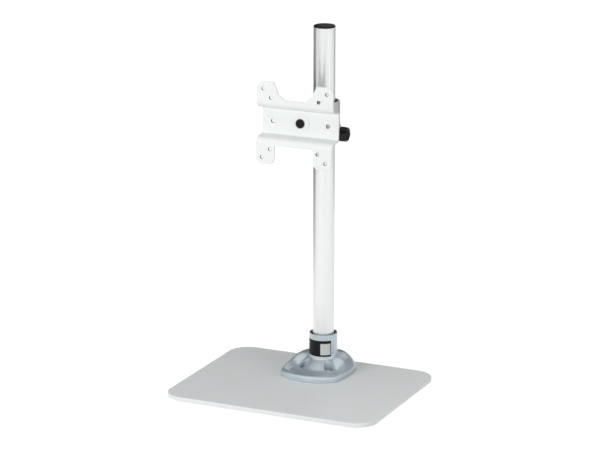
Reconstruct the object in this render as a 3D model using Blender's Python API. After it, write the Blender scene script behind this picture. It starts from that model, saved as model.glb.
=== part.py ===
"""Monitor stand: a flat base plate, a cast foot, a round pole, and a sliding head with a screen bracket.

All sizes are in metres. +Z is up, the screen side faces -Y, and the origin is on the floor under the
middle of the base plate.
"""

import math
from collections import namedtuple

import bpy
import bmesh
from mathutils import Vector

for old in list(bpy.data.objects):
    bpy.data.objects.remove(old)

MM = 0.001

# Clearances
GAP = 0.3 * MM  # between pieces that touch
RUNNING_GAP = 0.3 * MM  # round a shaft or a screw in its hole
CUT_PAST = 2 * MM  # how far a cutting shape runs past what it cuts

# Smoothness of round shapes
ROUND_SIDES = 48
SMALL_SIDES = 24

# Base plate and its pads
PLATE_WIDTH = 330 * MM
PLATE_DEPTH = 262 * MM
PLATE_THICKNESS = 6 * MM
PLATE_CORNER_RADIUS = 32 * MM
PLATE_EDGE_CHAMFER = 0.8 * MM
PAD_RADIUS = 14 * MM
PAD_HEIGHT = 1.7 * MM
PAD_INSET = 34 * MM

# Cast foot, measured from the pole's axis and from the foot's underside
POLE_SETBACK = 49.3 * MM  # from the plate's back edge to the pole's axis
FOOT_CORNER_HALF_WIDTH = 45 * MM
FOOT_CORNER_FORWARD = 57 * MM
FOOT_FRONT_BULGE = 17.3 * MM
FOOT_SIDE_BULGE = 2 * MM
FOOT_SIDE_HALF_WIDTH = 50 * MM
FOOT_SIDE_FORWARD = 5 * MM
FOOT_BACK = 47.5 * MM
FOOT_EDGE_HEIGHT = 6 * MM
FOOT_LIP_HEIGHT = 9.4 * MM
FOOT_LEDGE_HEIGHT = 5 * MM
FOOT_HUB_RADIUS = 37 * MM
FOOT_HUB_HEIGHT = 20.5 * MM
FOOT_DOME_HEIGHT = 23.5 * MM
FOOT_POCKET_RADIUS = 6.8 * MM
FOOT_POCKET_FLOOR = 3.2 * MM
FOOT_SCREW_SIDEWAYS = 19 * MM
FOOT_SCREW_FORWARD = 24 * MM
COLLAR_RADIUS = 21 * MM
COLLAR_HEIGHT = 56.7 * MM
SOCKET_RADIUS = 19.5 * MM
SOCKET_FLOOR = 5.7 * MM
LINER_RECESS = 4 * MM
LINER_LENGTH = 26 * MM
SET_SCREW_DROP = 12 * MM  # from the collar's rim to the set screw
SET_SCREW_RADIUS = 3 * MM
SET_SCREW_KEY = 3 * MM

# Pole
POLE_RADIUS = 16 * MM
POLE_WALL = 2 * MM
POLE_LENGTH = 513.7 * MM
CAP_FLANGE = 2 * MM
CAP_SPIGOT_LENGTH = 12 * MM
CAP_WALL = 2.5 * MM
PLUG_LENGTH = 26 * MM
POLE_BOLT_RADIUS = 5 * MM
POLE_BOLT_HEAD_RADIUS = 9 * MM
POLE_BOLT_ENGAGEMENT = 20 * MM
POLE_BOLT_KEY = 6 * MM

# Clamp sleeve, which slides and turns on the pole
SLEEVE_RADIUS = 23.1 * MM
SLEEVE_WALL = 3.3 * MM
SLEEVE_LENGTH = 60.9 * MM
SLEEVE_BOTTOM = 358 * MM
BUSH_RECESS = 2 * MM
UPPER_BUSH_LENGTH = 25.2 * MM
LOWER_BUSH_LENGTH = 7 * MM
BOSS_RADIUS = 9.5 * MM
BOSS_REACH = 26.5 * MM
BOSS_HEIGHT = 13 * MM  # boss axis above the sleeve's lower end
GUSSET_THICKNESS = 5 * MM
GUSSET_RISE = 22 * MM
GUSSET_SHOULDER = 11 * MM
GUSSET_REACH = 26 * MM

# Clamp screw, its knob and its pressure pad
CLAMP_SCREW_RADIUS = 4 * MM
CLAMP_PITCH = 1.25 * MM
CLAMP_TURNS = 1.5
INSERT_WALL = 2.2 * MM
INSERT_LENGTH = 3.4 * MM
PRESSURE_PAD_RADIUS = 5 * MM
PRESSURE_PAD_LENGTH = 4.4 * MM
KNOB_RADIUS = 12 * MM
KNOB_LENGTH = 10.6 * MM
KNOB_CLEARANCE = 0.6 * MM
KNOB_LOBES = 8
KNOB_FLUTE_DEPTH = 0.9 * MM
KNOB_EDGE_ROUND = 1.4 * MM
KNOB_BORE_DEPTH = 8 * MM

# Tilt hinge between the sleeve's arm and the yoke
TILT_AXIS_FORWARD = 47.7 * MM
TILT_AXIS_RISE = 41.8 * MM  # above the sleeve's lower end
TONGUE_RADIUS = 12 * MM
TONGUE_WIDTH = 18 * MM
FRICTION_WASHER_RADIUS = 11 * MM
ARM_ROOT_HEIGHT = 28 * MM
ARM_ROOT_WIDTH = 30 * MM
ARM_ROOT_FORWARD = 32 * MM
ARM_ROOT_STEP = 2 * MM  # from the arm's top and bottom to its root's
FRICTION_WASHER_THICKNESS = 1 * MM
CHEEK_THICKNESS = 5 * MM
CHEEK_RADIUS = 12 * MM
REST_TILT = math.radians(3)  # the top of the bracket leans back

# Fasteners
M8_RADIUS = 4 * MM
M8_NUT_WIDTH = 13 * MM
M8_NUT_HEIGHT = 7 * MM
M8_HEAD_HEIGHT = 5.3 * MM
M8_THREAD_OVERHANG = 2 * MM
WASHER_RADIUS = 8 * MM
WASHER_THICKNESS = 1.2 * MM

# Yoke and pivot, along the pivot's axis from the tilt hinge
HEAD_REACH = 58 * MM  # tilt axis to the front face of the bracket's ears
YOKE_FLANGE_RADIUS = 20 * MM
YOKE_FLANGE_THICKNESS = 6 * MM
YOKE_FLANGE_CHAMFER = 1 * MM
PIVOT_DISC_RADIUS = 19 * MM
PIVOT_DISC_THICKNESS = 1.5 * MM
PIVOT_WASHER_RADIUS = 14 * MM
PIVOT_WASHER_THICKNESS = 0.6 * MM
SPRING_WASHER_THICKNESS = 1.6 * MM
PIVOT_HEAD_RADIUS = 6.9 * MM
PIVOT_HEAD_HEIGHT = 2.4 * MM
PIVOT_KEY = 5 * MM
PIVOT_KEY_DEPTH = 1.6 * MM

# Screen bracket, folded from one sheet
BRACKET_SIZE = 120 * MM
BRACKET_THICKNESS = 2.5 * MM
BRACKET_CORNER_RADIUS = 10 * MM
BRACKET_RECESS = 22 * MM
PANEL_HALF_HEIGHT = 20 * MM  # of the recessed middle, to where its bends start
EAR_START = 24 * MM  # where the ears' bends end, from the middle
EAR_BEND_RADIUS = 8 * MM  # of the sheet's middle surface
PANEL_BEND_RADIUS = 3 * MM
SCALLOP_LEVEL = 35.3 * MM
SCALLOP_FLAT_HALF_WIDTH = 15 * MM
SCALLOP_SHOULDER = (25.5 * MM, 42 * MM)
SCALLOP_TOP_HALF_WIDTH = 33.5 * MM
SCALLOP_ROUND = 8 * MM
CUTOUT_LEVEL = 32 * MM
CUTOUT_HALF_WIDTH = 30.5 * MM
CUTOUT_CORNER_RADIUS = 3 * MM
EAR_TOE_RADIUS = 9 * MM
LARGE_PATTERN = 100 * MM
SMALL_PATTERN = 75 * MM
SCREEN_HOLE_RADIUS = 2.4 * MM
MIDDLE_HOLE_OFFSET = 43.3 * MM
MIDDLE_HOLE_RADIUS = 2.8 * MM

# Places that follow from the sizes
PLATE_BOTTOM = PAD_HEIGHT + GAP
PLATE_TOP = PLATE_BOTTOM + PLATE_THICKNESS
POLE_Y = PLATE_DEPTH / 2 - POLE_SETBACK
FOOT_BOTTOM = PLATE_TOP + GAP
COLLAR_TOP = FOOT_BOTTOM + COLLAR_HEIGHT
POLE_BOTTOM = FOOT_BOTTOM + SOCKET_FLOOR + GAP
POLE_TOP = POLE_BOTTOM + POLE_LENGTH
POLE_BORE = POLE_RADIUS - POLE_WALL
SLEEVE_BORE = SLEEVE_RADIUS - SLEEVE_WALL
BUSH_BORE = POLE_RADIUS + RUNNING_GAP
M8_HOLE = M8_RADIUS + RUNNING_GAP
INSERT_RADIUS = CLAMP_SCREW_RADIUS + RUNNING_GAP + INSERT_WALL


# Materials

def material(name, colour, roughness, metallic=0.0):
    made = bpy.data.materials.new(name)
    made.use_nodes = True
    shader = made.node_tree.nodes["Principled BSDF"]
    shader.inputs["Base Color"].default_value = (*colour, 1)
    shader.inputs["Roughness"].default_value = roughness
    shader.inputs["Metallic"].default_value = metallic
    made.diffuse_color = (*colour, 1)
    return made


PLATE_PAINT = material("plate_paint", (0.73, 0.76, 0.76), 0.45)
FOOT_PAINT = material("foot_paint", (0.30, 0.36, 0.40), 0.35, 0.6)
POLE_PAINT = material("pole_paint", (0.80, 0.82, 0.82), 0.30, 0.2)
SLEEVE_PAINT = material("sleeve_paint", (0.55, 0.57, 0.58), 0.38, 0.4)
WHITE_PAINT = material("white_paint", (0.88, 0.90, 0.90), 0.42)
BLACK_PLASTIC = material("black_plastic", (0.015, 0.015, 0.017), 0.45)
BLACK_STEEL = material("black_steel", (0.03, 0.03, 0.03), 0.35, 0.8)
ZINC_STEEL = material("zinc_steel", (0.62, 0.62, 0.60), 0.32, 1.0)
BRASS = material("brass", (0.72, 0.53, 0.24), 0.35, 1.0)
NYLON = material("nylon", (0.82, 0.81, 0.76), 0.55)
RUBBER = material("rubber", (0.02, 0.02, 0.02), 0.85)


# Frames that the moving pieces are parented to, each on its joint's axis

def frame(name, parent=None, place=(0, 0, 0), turn=(0, 0, 0)):
    empty = bpy.data.objects.new(name, None)
    empty.empty_display_size = 20 * MM
    empty.location = place
    empty.rotation_euler = turn
    empty.parent = parent
    bpy.context.scene.collection.objects.link(empty)
    return empty


POLE_FRAME = frame("pole_frame", place=(0, POLE_Y, 0))
SLIDE_FRAME = frame("slide_frame", POLE_FRAME, (0, 0, SLEEVE_BOTTOM))
SWIVEL_FRAME = frame("swivel_frame", SLIDE_FRAME)
CLAMP_FRAME = frame("clamp_frame", SWIVEL_FRAME, (0, 0, BOSS_HEIGHT), (0, math.pi / 2, 0))
TILT_FRAME = frame("tilt_frame", SWIVEL_FRAME, (0, -TILT_AXIS_FORWARD, TILT_AXIS_RISE), (-REST_TILT, 0, 0))
PIVOT_FRAME = frame("pivot_frame", TILT_FRAME, turn=(math.pi / 2, 0, 0))


# Mesh helpers

def place_mesh(name, mesh, paint, parent, place=(0, 0, 0), turn=(0, 0, 0), rounded=True):
    body = bpy.data.objects.new(name, mesh)
    body.location = place
    body.rotation_euler = turn
    body.parent = parent
    bpy.context.scene.collection.objects.link(body)
    if paint:
        mesh.materials.append(paint)
    if rounded:
        mesh.shade_smooth()
        mesh.set_sharp_from_angle(angle=math.radians(32))
    return body


def mesh_from(name, points, faces):
    """A closed mesh whose faces all point outwards."""
    mesh = bpy.data.meshes.new(name)
    mesh.from_pydata([tuple(point) for point in points], [], faces)
    shape = bmesh.new()
    shape.from_mesh(mesh)
    bmesh.ops.recalc_face_normals(shape, faces=shape.faces)
    shape.to_mesh(mesh)
    shape.free()
    return mesh


def loft(name, loops, ring=False):
    """A skin over loops of equally many points: capped at both ends, or closed into a ring."""
    count = len(loops[0])
    points = [point for loop in loops for point in loop]
    faces = []
    spans = len(loops) if ring else len(loops) - 1
    for row in range(spans):
        near = row * count
        far = (row + 1) % len(loops) * count
        for k in range(count):
            after = (k + 1) % count
            faces.append((near + k, near + after, far + after, far + k))
    if not ring:
        faces.append(tuple(range(count)))
        faces.append(tuple(range(len(points) - count, len(points))))
    return mesh_from(name, points, faces)


def circle(radius, height, sides):
    steps = [2 * math.pi * k / sides for k in range(sides)]
    return [(radius * math.cos(step), radius * math.sin(step), height) for step in steps]


def turned(name, profile, sides, ring=False):
    """A solid of revolution about Z from (radius, height) pairs."""
    return loft(name, [circle(radius, height, sides) for radius, height in profile], ring)


def tube_mesh(name, inner, outer, low, high, sides, chamfer=0.0):
    if chamfer:
        profile = [(inner, low), (outer - chamfer, low), (outer, low + chamfer), (outer, high - chamfer)]
        profile += [(outer - chamfer, high), (inner, high)]
    else:
        profile = [(inner, low), (outer, low), (outer, high), (inner, high)]
    return turned(name, profile, sides, ring=True)


def prism(name, outline, low, high):
    """An outline in the XY plane, raised from low to high."""
    return loft(name, [[(x, y, level) for x, y in outline] for level in (low, high)])


def sideways_prism(name, outline, half_width):
    """An outline in the YZ plane, spread from -X to +X."""
    return loft(name, [[(side, y, z) for y, z in outline] for side in (-half_width, half_width)])


def hexagon(across_flats):
    radius = across_flats / math.sqrt(3)
    steps = [math.radians(60 * k + 30) for k in range(6)]
    return [(radius * math.cos(step), radius * math.sin(step)) for step in steps]


def arc(centre, radius, start, end, count):
    """Points on an arc, its two ends included, with the angles in degrees."""
    steps = [math.radians(start + (end - start) * k / count) for k in range(count + 1)]
    return [(centre[0] + radius * math.cos(step), centre[1] + radius * math.sin(step)) for step in steps]


def bowed_line(start, end, bulge, count):
    """Points from start to end on an arc that bulges to the right of the way, without the last one."""
    start, end = Vector(start), Vector(end)
    chord = end - start
    radius = (chord.length_squared / 4 + bulge * bulge) / (2 * bulge)
    right = Vector((chord.y, -chord.x)).normalized()
    centre = (start + end) / 2 - right * (radius - bulge)
    half = math.asin(chord.length / (2 * radius))
    middle = math.atan2(right.y, right.x)
    steps = [middle - half + 2 * half * k / count for k in range(count)]
    return [(centre.x + radius * math.cos(step), centre.y + radius * math.sin(step)) for step in steps]


def combine(target, helper, operation):
    """Adds or cuts a helper solid with a Boolean, and hides the helper."""
    step = target.modifiers.new(helper.name, "BOOLEAN")
    step.operation = operation
    step.object = helper
    helper.hide_render = True
    helper.display_type = "WIRE"
    return helper


def cut(target, helper):
    return combine(target, helper, "DIFFERENCE")


def fuse(target, helper):
    return combine(target, helper, "UNION")


def rounded_rectangle(width, depth, radius, count=6):
    outline = []
    for quarter, (side, end) in enumerate(((1, 1), (-1, 1), (-1, -1), (1, -1))):
        centre = (side * (width / 2 - radius), end * (depth / 2 - radius))
        outline += arc(centre, radius, 90 * quarter, 90 * quarter + 90, count)
    return outline


# Base plate, a slab of painted steel with chamfered edges, and its rubber pads

FOOT_SCREW_PLACES = [
    (side * FOOT_SCREW_SIDEWAYS, end * FOOT_SCREW_FORWARD) for side in (-1, 1) for end in (-1, 1)
]
Screw = namedtuple("Screw", "radius length head_radius head_height key key_depth")
FOOT_SCREW = Screw(2.5 * MM, 8 * MM, 4.6 * MM, 2.8 * MM, 3 * MM, 1.6 * MM)


def plate_loop(inset, level):
    outline = rounded_rectangle(
        PLATE_WIDTH - 2 * inset, PLATE_DEPTH - 2 * inset, PLATE_CORNER_RADIUS - inset
    )
    return [(x, y, level) for x, y in outline]


base_plate = place_mesh(
    "base_plate",
    loft(
        "base_plate",
        [
            plate_loop(PLATE_EDGE_CHAMFER, PLATE_BOTTOM),
            plate_loop(0, PLATE_BOTTOM + PLATE_EDGE_CHAMFER),
            plate_loop(0, PLATE_TOP - PLATE_EDGE_CHAMFER),
            plate_loop(PLATE_EDGE_CHAMFER, PLATE_TOP),
        ],
    ),
    PLATE_PAINT,
    None,
    rounded=False,
)
for number, (x, y) in enumerate(FOOT_SCREW_PLACES, 1):
    hole = turned(
        f"plate_hole_{number}",
        [(FOOT_SCREW.radius + RUNNING_GAP, -GAP), (FOOT_SCREW.radius + RUNNING_GAP, PLATE_TOP + GAP)],
        SMALL_SIDES,
    )
    cut(base_plate, place_mesh(f"cutter_plate_hole_{number}", hole, None, POLE_FRAME, (x, y, 0)))

POLE_BOLT_CONE = POLE_BOLT_HEAD_RADIUS - POLE_BOLT_RADIUS
POLE_BOLT_FACE = PLATE_BOTTOM + GAP
countersink = turned(
    "countersink",
    [
        (POLE_BOLT_HEAD_RADIUS + RUNNING_GAP, 0),
        (POLE_BOLT_HEAD_RADIUS + RUNNING_GAP, POLE_BOLT_FACE),
        (POLE_BOLT_RADIUS + RUNNING_GAP, POLE_BOLT_FACE + POLE_BOLT_CONE),
        (POLE_BOLT_RADIUS + RUNNING_GAP, POLE_BOTTOM),
    ],
    ROUND_SIDES,
)
cut(base_plate, place_mesh("cutter_countersink", countersink, None, POLE_FRAME))

PAD_NAMES = ("front_left", "back_left", "front_right", "back_right")
PAD_PLACES = [
    (side * (PLATE_WIDTH / 2 - PAD_INSET), end * (PLATE_DEPTH / 2 - PAD_INSET))
    for side in (-1, 1)
    for end in (-1, 1)
]
for pad_name, (x, y) in zip(PAD_NAMES, PAD_PLACES):
    pad = turned("rubber_pad", [(PAD_RADIUS, 0), (PAD_RADIUS, PAD_HEIGHT)], SMALL_SIDES)
    place_mesh(f"rubber_pad_{pad_name}", pad, RUBBER, None, (x, y, 0))


# Cast foot: a bowed flange with a rounded lip, a conical hub at the front, a dome round the sides and back,
# and a collar that holds the pole. Heights are from the foot's underside

LIP_ROUND = 8 * MM  # from the outline to the lip's crest
LIP_WIDTH = 17 * MM  # from the outline to the ledge behind the lip
LIP_STEPS = (0.05, 0.13, 0.27, 0.47, 0.71, 1.0)
HUB_STEPS = (0.0, 0.2, 0.4, 0.6, 0.78, 0.92, 1.0)
HUB_CURVE = 1.15
DOME_CURVE = 3.2
FRONT_BEARING = math.radians(52)  # the hub's shape holds up to here on each side of straight ahead
SIDE_BEARING = math.radians(80)  # the dome's shape holds from here on


def foot_outline():
    left_corner = (-FOOT_CORNER_HALF_WIDTH, -FOOT_CORNER_FORWARD)
    right_corner = (FOOT_CORNER_HALF_WIDTH, -FOOT_CORNER_FORWARD)
    left_side = (-FOOT_SIDE_HALF_WIDTH, -FOOT_SIDE_FORWARD)
    right_side = (FOOT_SIDE_HALF_WIDTH, -FOOT_SIDE_FORWARD)
    outline = bowed_line(left_corner, right_corner, FOOT_FRONT_BULGE, 14)
    outline += bowed_line(right_corner, right_side, FOOT_SIDE_BULGE, 6)
    steps = [math.pi * k / 28 for k in range(28)]
    back = FOOT_BACK + FOOT_SIDE_FORWARD
    outline += [
        (FOOT_SIDE_HALF_WIDTH * math.cos(step), back * math.sin(step) - FOOT_SIDE_FORWARD)
        for step in steps
    ]
    outline += bowed_line(left_side, left_corner, FOOT_SIDE_BULGE, 6)
    return outline


def smooth(amount):
    amount = min(1.0, max(0.0, amount))
    return amount * amount * (3 - 2 * amount)


def foot_height(radius, edge_radius, bearing):
    """Height of the foot's skin at a radius, on a column that starts at edge_radius."""
    depth = edge_radius - radius
    lip_rise = FOOT_LIP_HEIGHT - FOOT_EDGE_HEIGHT
    if depth < LIP_ROUND:
        front = FOOT_EDGE_HEIGHT + lip_rise * math.sin(math.pi / 2 * depth / LIP_ROUND)
    else:
        fall = smooth((depth - LIP_ROUND) / (LIP_WIDTH - LIP_ROUND))
        front = FOOT_LIP_HEIGHT - (FOOT_LIP_HEIGHT - FOOT_LEDGE_HEIGHT) * fall
    if radius < FOOT_HUB_RADIUS:
        climb = (FOOT_HUB_RADIUS - radius) / (FOOT_HUB_RADIUS - COLLAR_RADIUS)
        hub_rise = FOOT_HUB_HEIGHT - FOOT_LEDGE_HEIGHT
        hub = FOOT_LEDGE_HEIGHT + hub_rise * (1 - (1 - climb) ** HUB_CURVE)
        front = max(front, hub)
    climb = depth / (edge_radius - COLLAR_RADIUS)
    side = FOOT_EDGE_HEIGHT + (FOOT_DOME_HEIGHT - FOOT_EDGE_HEIGHT) * (1 - (1 - climb) ** DOME_CURVE)
    blend = smooth((bearing - FRONT_BEARING) / (SIDE_BEARING - FRONT_BEARING))
    return front + (side - front) * blend


def foot_mesh():
    columns = []
    for x, y in foot_outline():
        edge_radius = math.hypot(x, y)
        across, along = x / edge_radius, y / edge_radius
        bearing = math.acos(max(-1.0, min(1.0, -along)))
        lip_width = min(LIP_WIDTH, (edge_radius - FOOT_HUB_RADIUS) * 0.9)
        radii = [edge_radius - lip_width * step for step in LIP_STEPS]
        radii += [FOOT_HUB_RADIUS + (COLLAR_RADIUS - FOOT_HUB_RADIUS) * step for step in HUB_STEPS]
        column = [(x, y, 0), (x, y, FOOT_EDGE_HEIGHT)]
        for radius in radii:
            column.append((across * radius, along * radius, foot_height(radius, edge_radius, bearing)))
        column.append((across * COLLAR_RADIUS, along * COLLAR_RADIUS, COLLAR_HEIGHT))
        columns.append(column)
    return loft("foot_casting", [list(row) for row in zip(*columns)])


foot = place_mesh("foot_casting", foot_mesh(), FOOT_PAINT, POLE_FRAME, (0, 0, FOOT_BOTTOM))
socket = turned("socket", [(SOCKET_RADIUS, SOCKET_FLOOR), (SOCKET_RADIUS, COLLAR_HEIGHT + GAP)], ROUND_SIDES)
cut(foot, place_mesh("cutter_socket", socket, None, POLE_FRAME, (0, 0, FOOT_BOTTOM)))
bolt_way = turned(
    "bolt_way",
    [(POLE_BOLT_RADIUS + RUNNING_GAP, -GAP), (POLE_BOLT_RADIUS + RUNNING_GAP, SOCKET_FLOOR + GAP)],
    ROUND_SIDES,
)
cut(foot, place_mesh("cutter_bolt_way", bolt_way, None, POLE_FRAME, (0, 0, FOOT_BOTTOM)))
for number, (x, y) in enumerate(FOOT_SCREW_PLACES, 1):
    pocket = turned(
        f"pocket_{number}",
        [
            (FOOT_SCREW.radius + RUNNING_GAP, -GAP),
            (FOOT_SCREW.radius + RUNNING_GAP, FOOT_POCKET_FLOOR),
            (FOOT_POCKET_RADIUS, FOOT_POCKET_FLOOR),
            (FOOT_POCKET_RADIUS, COLLAR_HEIGHT),
        ],
        SMALL_SIDES,
    )
    cut(foot, place_mesh(f"cutter_pocket_{number}", pocket, None, POLE_FRAME, (x, y, FOOT_BOTTOM)))

SET_SCREW_HEIGHT = COLLAR_TOP - SET_SCREW_DROP
REARWARD = (-math.pi / 2, 0, 0)  # turns +Z to +Y


def set_screw_way(name):
    """The hole for the set screw, through the collar's back and the liner."""
    radius = SET_SCREW_RADIUS + RUNNING_GAP
    way = turned(name, [(radius, POLE_RADIUS), (radius, COLLAR_RADIUS + GAP)], SMALL_SIDES)
    return place_mesh(name, way, None, POLE_FRAME, (0, 0, SET_SCREW_HEIGHT), REARWARD)


cut(foot, set_screw_way("cutter_collar_screw_way"))


# Screws with a rounded head and a hexagon socket. The head's underside is at the screw's origin

def button_screw(name, paint, screw, parent, place, turn=(0, 0, 0)):
    profile = [
        (screw.radius, -screw.length),
        (screw.radius, 0),
        (screw.head_radius, 0),
        (screw.head_radius, 0.35 * screw.head_height),
        (0.86 * screw.head_radius, 0.75 * screw.head_height),
        (0.6 * screw.head_radius, screw.head_height),
    ]
    made = place_mesh(name, turned(name, profile, SMALL_SIDES), paint, parent, place, turn)
    key = prism(
        f"{name}_key", hexagon(screw.key), screw.head_height - screw.key_depth, screw.head_height + GAP
    )
    cut(made, place_mesh(f"cutter_{name}_key", key, None, parent, place, turn))
    return made


for number, (x, y) in enumerate(FOOT_SCREW_PLACES, 1):
    screw_place = (x, y, FOOT_BOTTOM + FOOT_POCKET_FLOOR + GAP)
    button_screw(f"foot_screw_{number}", ZINC_STEEL, FOOT_SCREW, POLE_FRAME, screw_place)


# Collar liner, a plastic bush between the collar and the pole, and the set screw behind it

LINER_TOP = COLLAR_TOP - LINER_RECESS
liner = place_mesh(
    "collar_liner",
    tube_mesh(
        "collar_liner",
        POLE_RADIUS + GAP,
        SOCKET_RADIUS - GAP,
        LINER_TOP - LINER_LENGTH,
        LINER_TOP,
        ROUND_SIDES,
    ),
    BLACK_PLASTIC,
    POLE_FRAME,
)
cut(liner, set_screw_way("cutter_liner_screw_way"))
set_screw = place_mesh(
    "collar_set_screw",
    turned(
        "collar_set_screw",
        [(SET_SCREW_RADIUS, POLE_RADIUS + GAP), (SET_SCREW_RADIUS, COLLAR_RADIUS - GAP)],
        SMALL_SIDES,
    ),
    BLACK_STEEL,
    POLE_FRAME,
    (0, 0, SET_SCREW_HEIGHT),
    REARWARD,
)
set_screw_key = prism(
    "set_screw_key", hexagon(SET_SCREW_KEY), (POLE_RADIUS + COLLAR_RADIUS) / 2, COLLAR_RADIUS + GAP
)
cut(
    set_screw,
    place_mesh("cutter_set_screw_key", set_screw_key, None, POLE_FRAME, (0, 0, SET_SCREW_HEIGHT), REARWARD),
)


# Pole, a painted steel tube, with the threaded plug that the bolt under the plate pulls down on

place_mesh(
    "pole_tube",
    tube_mesh("pole_tube", POLE_BORE, POLE_RADIUS, POLE_BOTTOM, POLE_TOP, ROUND_SIDES),
    POLE_PAINT,
    POLE_FRAME,
)
place_mesh(
    "pole_plug",
    tube_mesh(
        "pole_plug",
        POLE_BOLT_RADIUS + RUNNING_GAP,
        POLE_BORE - GAP,
        POLE_BOTTOM,
        POLE_BOTTOM + PLUG_LENGTH,
        ROUND_SIDES,
        0.8 * MM,
    ),
    ZINC_STEEL,
    POLE_FRAME,
)
pole_bolt = place_mesh(
    "pole_bolt",
    turned(
        "pole_bolt",
        [
            (POLE_BOLT_HEAD_RADIUS, POLE_BOLT_FACE),
            (POLE_BOLT_RADIUS, POLE_BOLT_FACE + POLE_BOLT_CONE),
            (POLE_BOLT_RADIUS, POLE_BOTTOM + POLE_BOLT_ENGAGEMENT),
        ],
        SMALL_SIDES,
    ),
    ZINC_STEEL,
    POLE_FRAME,
)
pole_bolt_key = prism("pole_bolt_key", hexagon(POLE_BOLT_KEY), 0, POLE_BOLT_FACE + 0.7 * POLE_BOLT_CONE)
cut(pole_bolt, place_mesh("cutter_pole_bolt_key", pole_bolt_key, None, POLE_FRAME))

CAP_BASE = POLE_TOP + GAP
SPIGOT_RADIUS = POLE_BORE - GAP
place_mesh(
    "pole_cap",
    turned(
        "pole_cap",
        [
            (SPIGOT_RADIUS - CAP_WALL, CAP_BASE),
            (SPIGOT_RADIUS - CAP_WALL, CAP_BASE - CAP_SPIGOT_LENGTH),
            (SPIGOT_RADIUS, CAP_BASE - CAP_SPIGOT_LENGTH),
            (SPIGOT_RADIUS, CAP_BASE),
            (POLE_RADIUS, CAP_BASE),
            (POLE_RADIUS, CAP_BASE + 0.6 * CAP_FLANGE),
            (POLE_RADIUS - 0.4 * CAP_FLANGE, CAP_BASE + CAP_FLANGE),
        ],
        ROUND_SIDES,
    ),
    BLACK_PLASTIC,
    POLE_FRAME,
)


# Bushes that the sleeve slides and turns on. Heights are from the sleeve's lower end

def pole_bush(name, low, length):
    mesh = tube_mesh(name, BUSH_BORE, SLEEVE_BORE - GAP, low, low + length, ROUND_SIDES)
    return place_mesh(name, mesh, BLACK_PLASTIC, SLIDE_FRAME)


pole_bush("upper_bush", SLEEVE_LENGTH - BUSH_RECESS - UPPER_BUSH_LENGTH, UPPER_BUSH_LENGTH)
pole_bush("lower_bush", GAP, LOWER_BUSH_LENGTH - GAP)


# Clamp sleeve: one casting with the arm for the tilt hinge and the boss for the clamp screw

def sleeve_helper(name, mesh, turn=(0, 0, 0)):
    return place_mesh(name, mesh, None, SWIVEL_FRAME, turn=turn)


SIDEWAYS = (0, math.pi / 2, 0)  # turns +Z to +X
sleeve = place_mesh(
    "clamp_sleeve",
    turned("clamp_sleeve", [(SLEEVE_RADIUS, 0), (SLEEVE_RADIUS, SLEEVE_LENGTH)], ROUND_SIDES),
    SLEEVE_PAINT,
    SWIVEL_FRAME,
)
ARM_ROOT = (SLEEVE_BORE + SLEEVE_RADIUS) / 2
arm_outline = [
    (-ARM_ROOT, TILT_AXIS_RISE - ARM_ROOT_HEIGHT / 2),
    (-ARM_ROOT, TILT_AXIS_RISE + ARM_ROOT_HEIGHT / 2),
]
arm_outline += arc((-TILT_AXIS_FORWARD, TILT_AXIS_RISE), TONGUE_RADIUS, 80, 280, 14)
fuse(sleeve, sleeve_helper("helper_arm", sideways_prism("arm", arm_outline, TONGUE_WIDTH / 2)))
root_outline = [
    (-ARM_ROOT_WIDTH / 2, -ARM_ROOT * 0.6),
    (-ARM_ROOT_WIDTH / 2, -ARM_ROOT),
    (-TONGUE_WIDTH / 2, -ARM_ROOT_FORWARD),
    (TONGUE_WIDTH / 2, -ARM_ROOT_FORWARD),
    (ARM_ROOT_WIDTH / 2, -ARM_ROOT),
    (ARM_ROOT_WIDTH / 2, -ARM_ROOT * 0.6),
]
ROOT_HALF_HEIGHT = ARM_ROOT_HEIGHT / 2 - ARM_ROOT_STEP
root = prism("arm_root", root_outline, TILT_AXIS_RISE - ROOT_HALF_HEIGHT, TILT_AXIS_RISE + ROOT_HALF_HEIGHT)
fuse(sleeve, sleeve_helper("helper_arm_root", root))
boss = turned("boss", [(BOSS_RADIUS, POLE_RADIUS), (BOSS_RADIUS, BOSS_REACH)], ROUND_SIDES)
fuse(sleeve, place_mesh("helper_boss", boss, None, CLAMP_FRAME))
gusset_outline = [
    (POLE_RADIUS, BOSS_HEIGHT),
    (GUSSET_REACH, BOSS_HEIGHT),
    (GUSSET_REACH, BOSS_HEIGHT + GUSSET_SHOULDER),
    (SLEEVE_RADIUS, BOSS_HEIGHT + GUSSET_RISE),
    (POLE_RADIUS, BOSS_HEIGHT + GUSSET_RISE),
]
gusset = prism("gusset", gusset_outline, -GUSSET_THICKNESS / 2, GUSSET_THICKNESS / 2)
fuse(sleeve, sleeve_helper("helper_gusset", gusset, (math.pi / 2, 0, 0)))
sleeve_bore = turned("sleeve_bore", [(SLEEVE_BORE, -GAP), (SLEEVE_BORE, SLEEVE_LENGTH + GAP)], ROUND_SIDES)
cut(sleeve, sleeve_helper("cutter_sleeve_bore", sleeve_bore))

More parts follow.
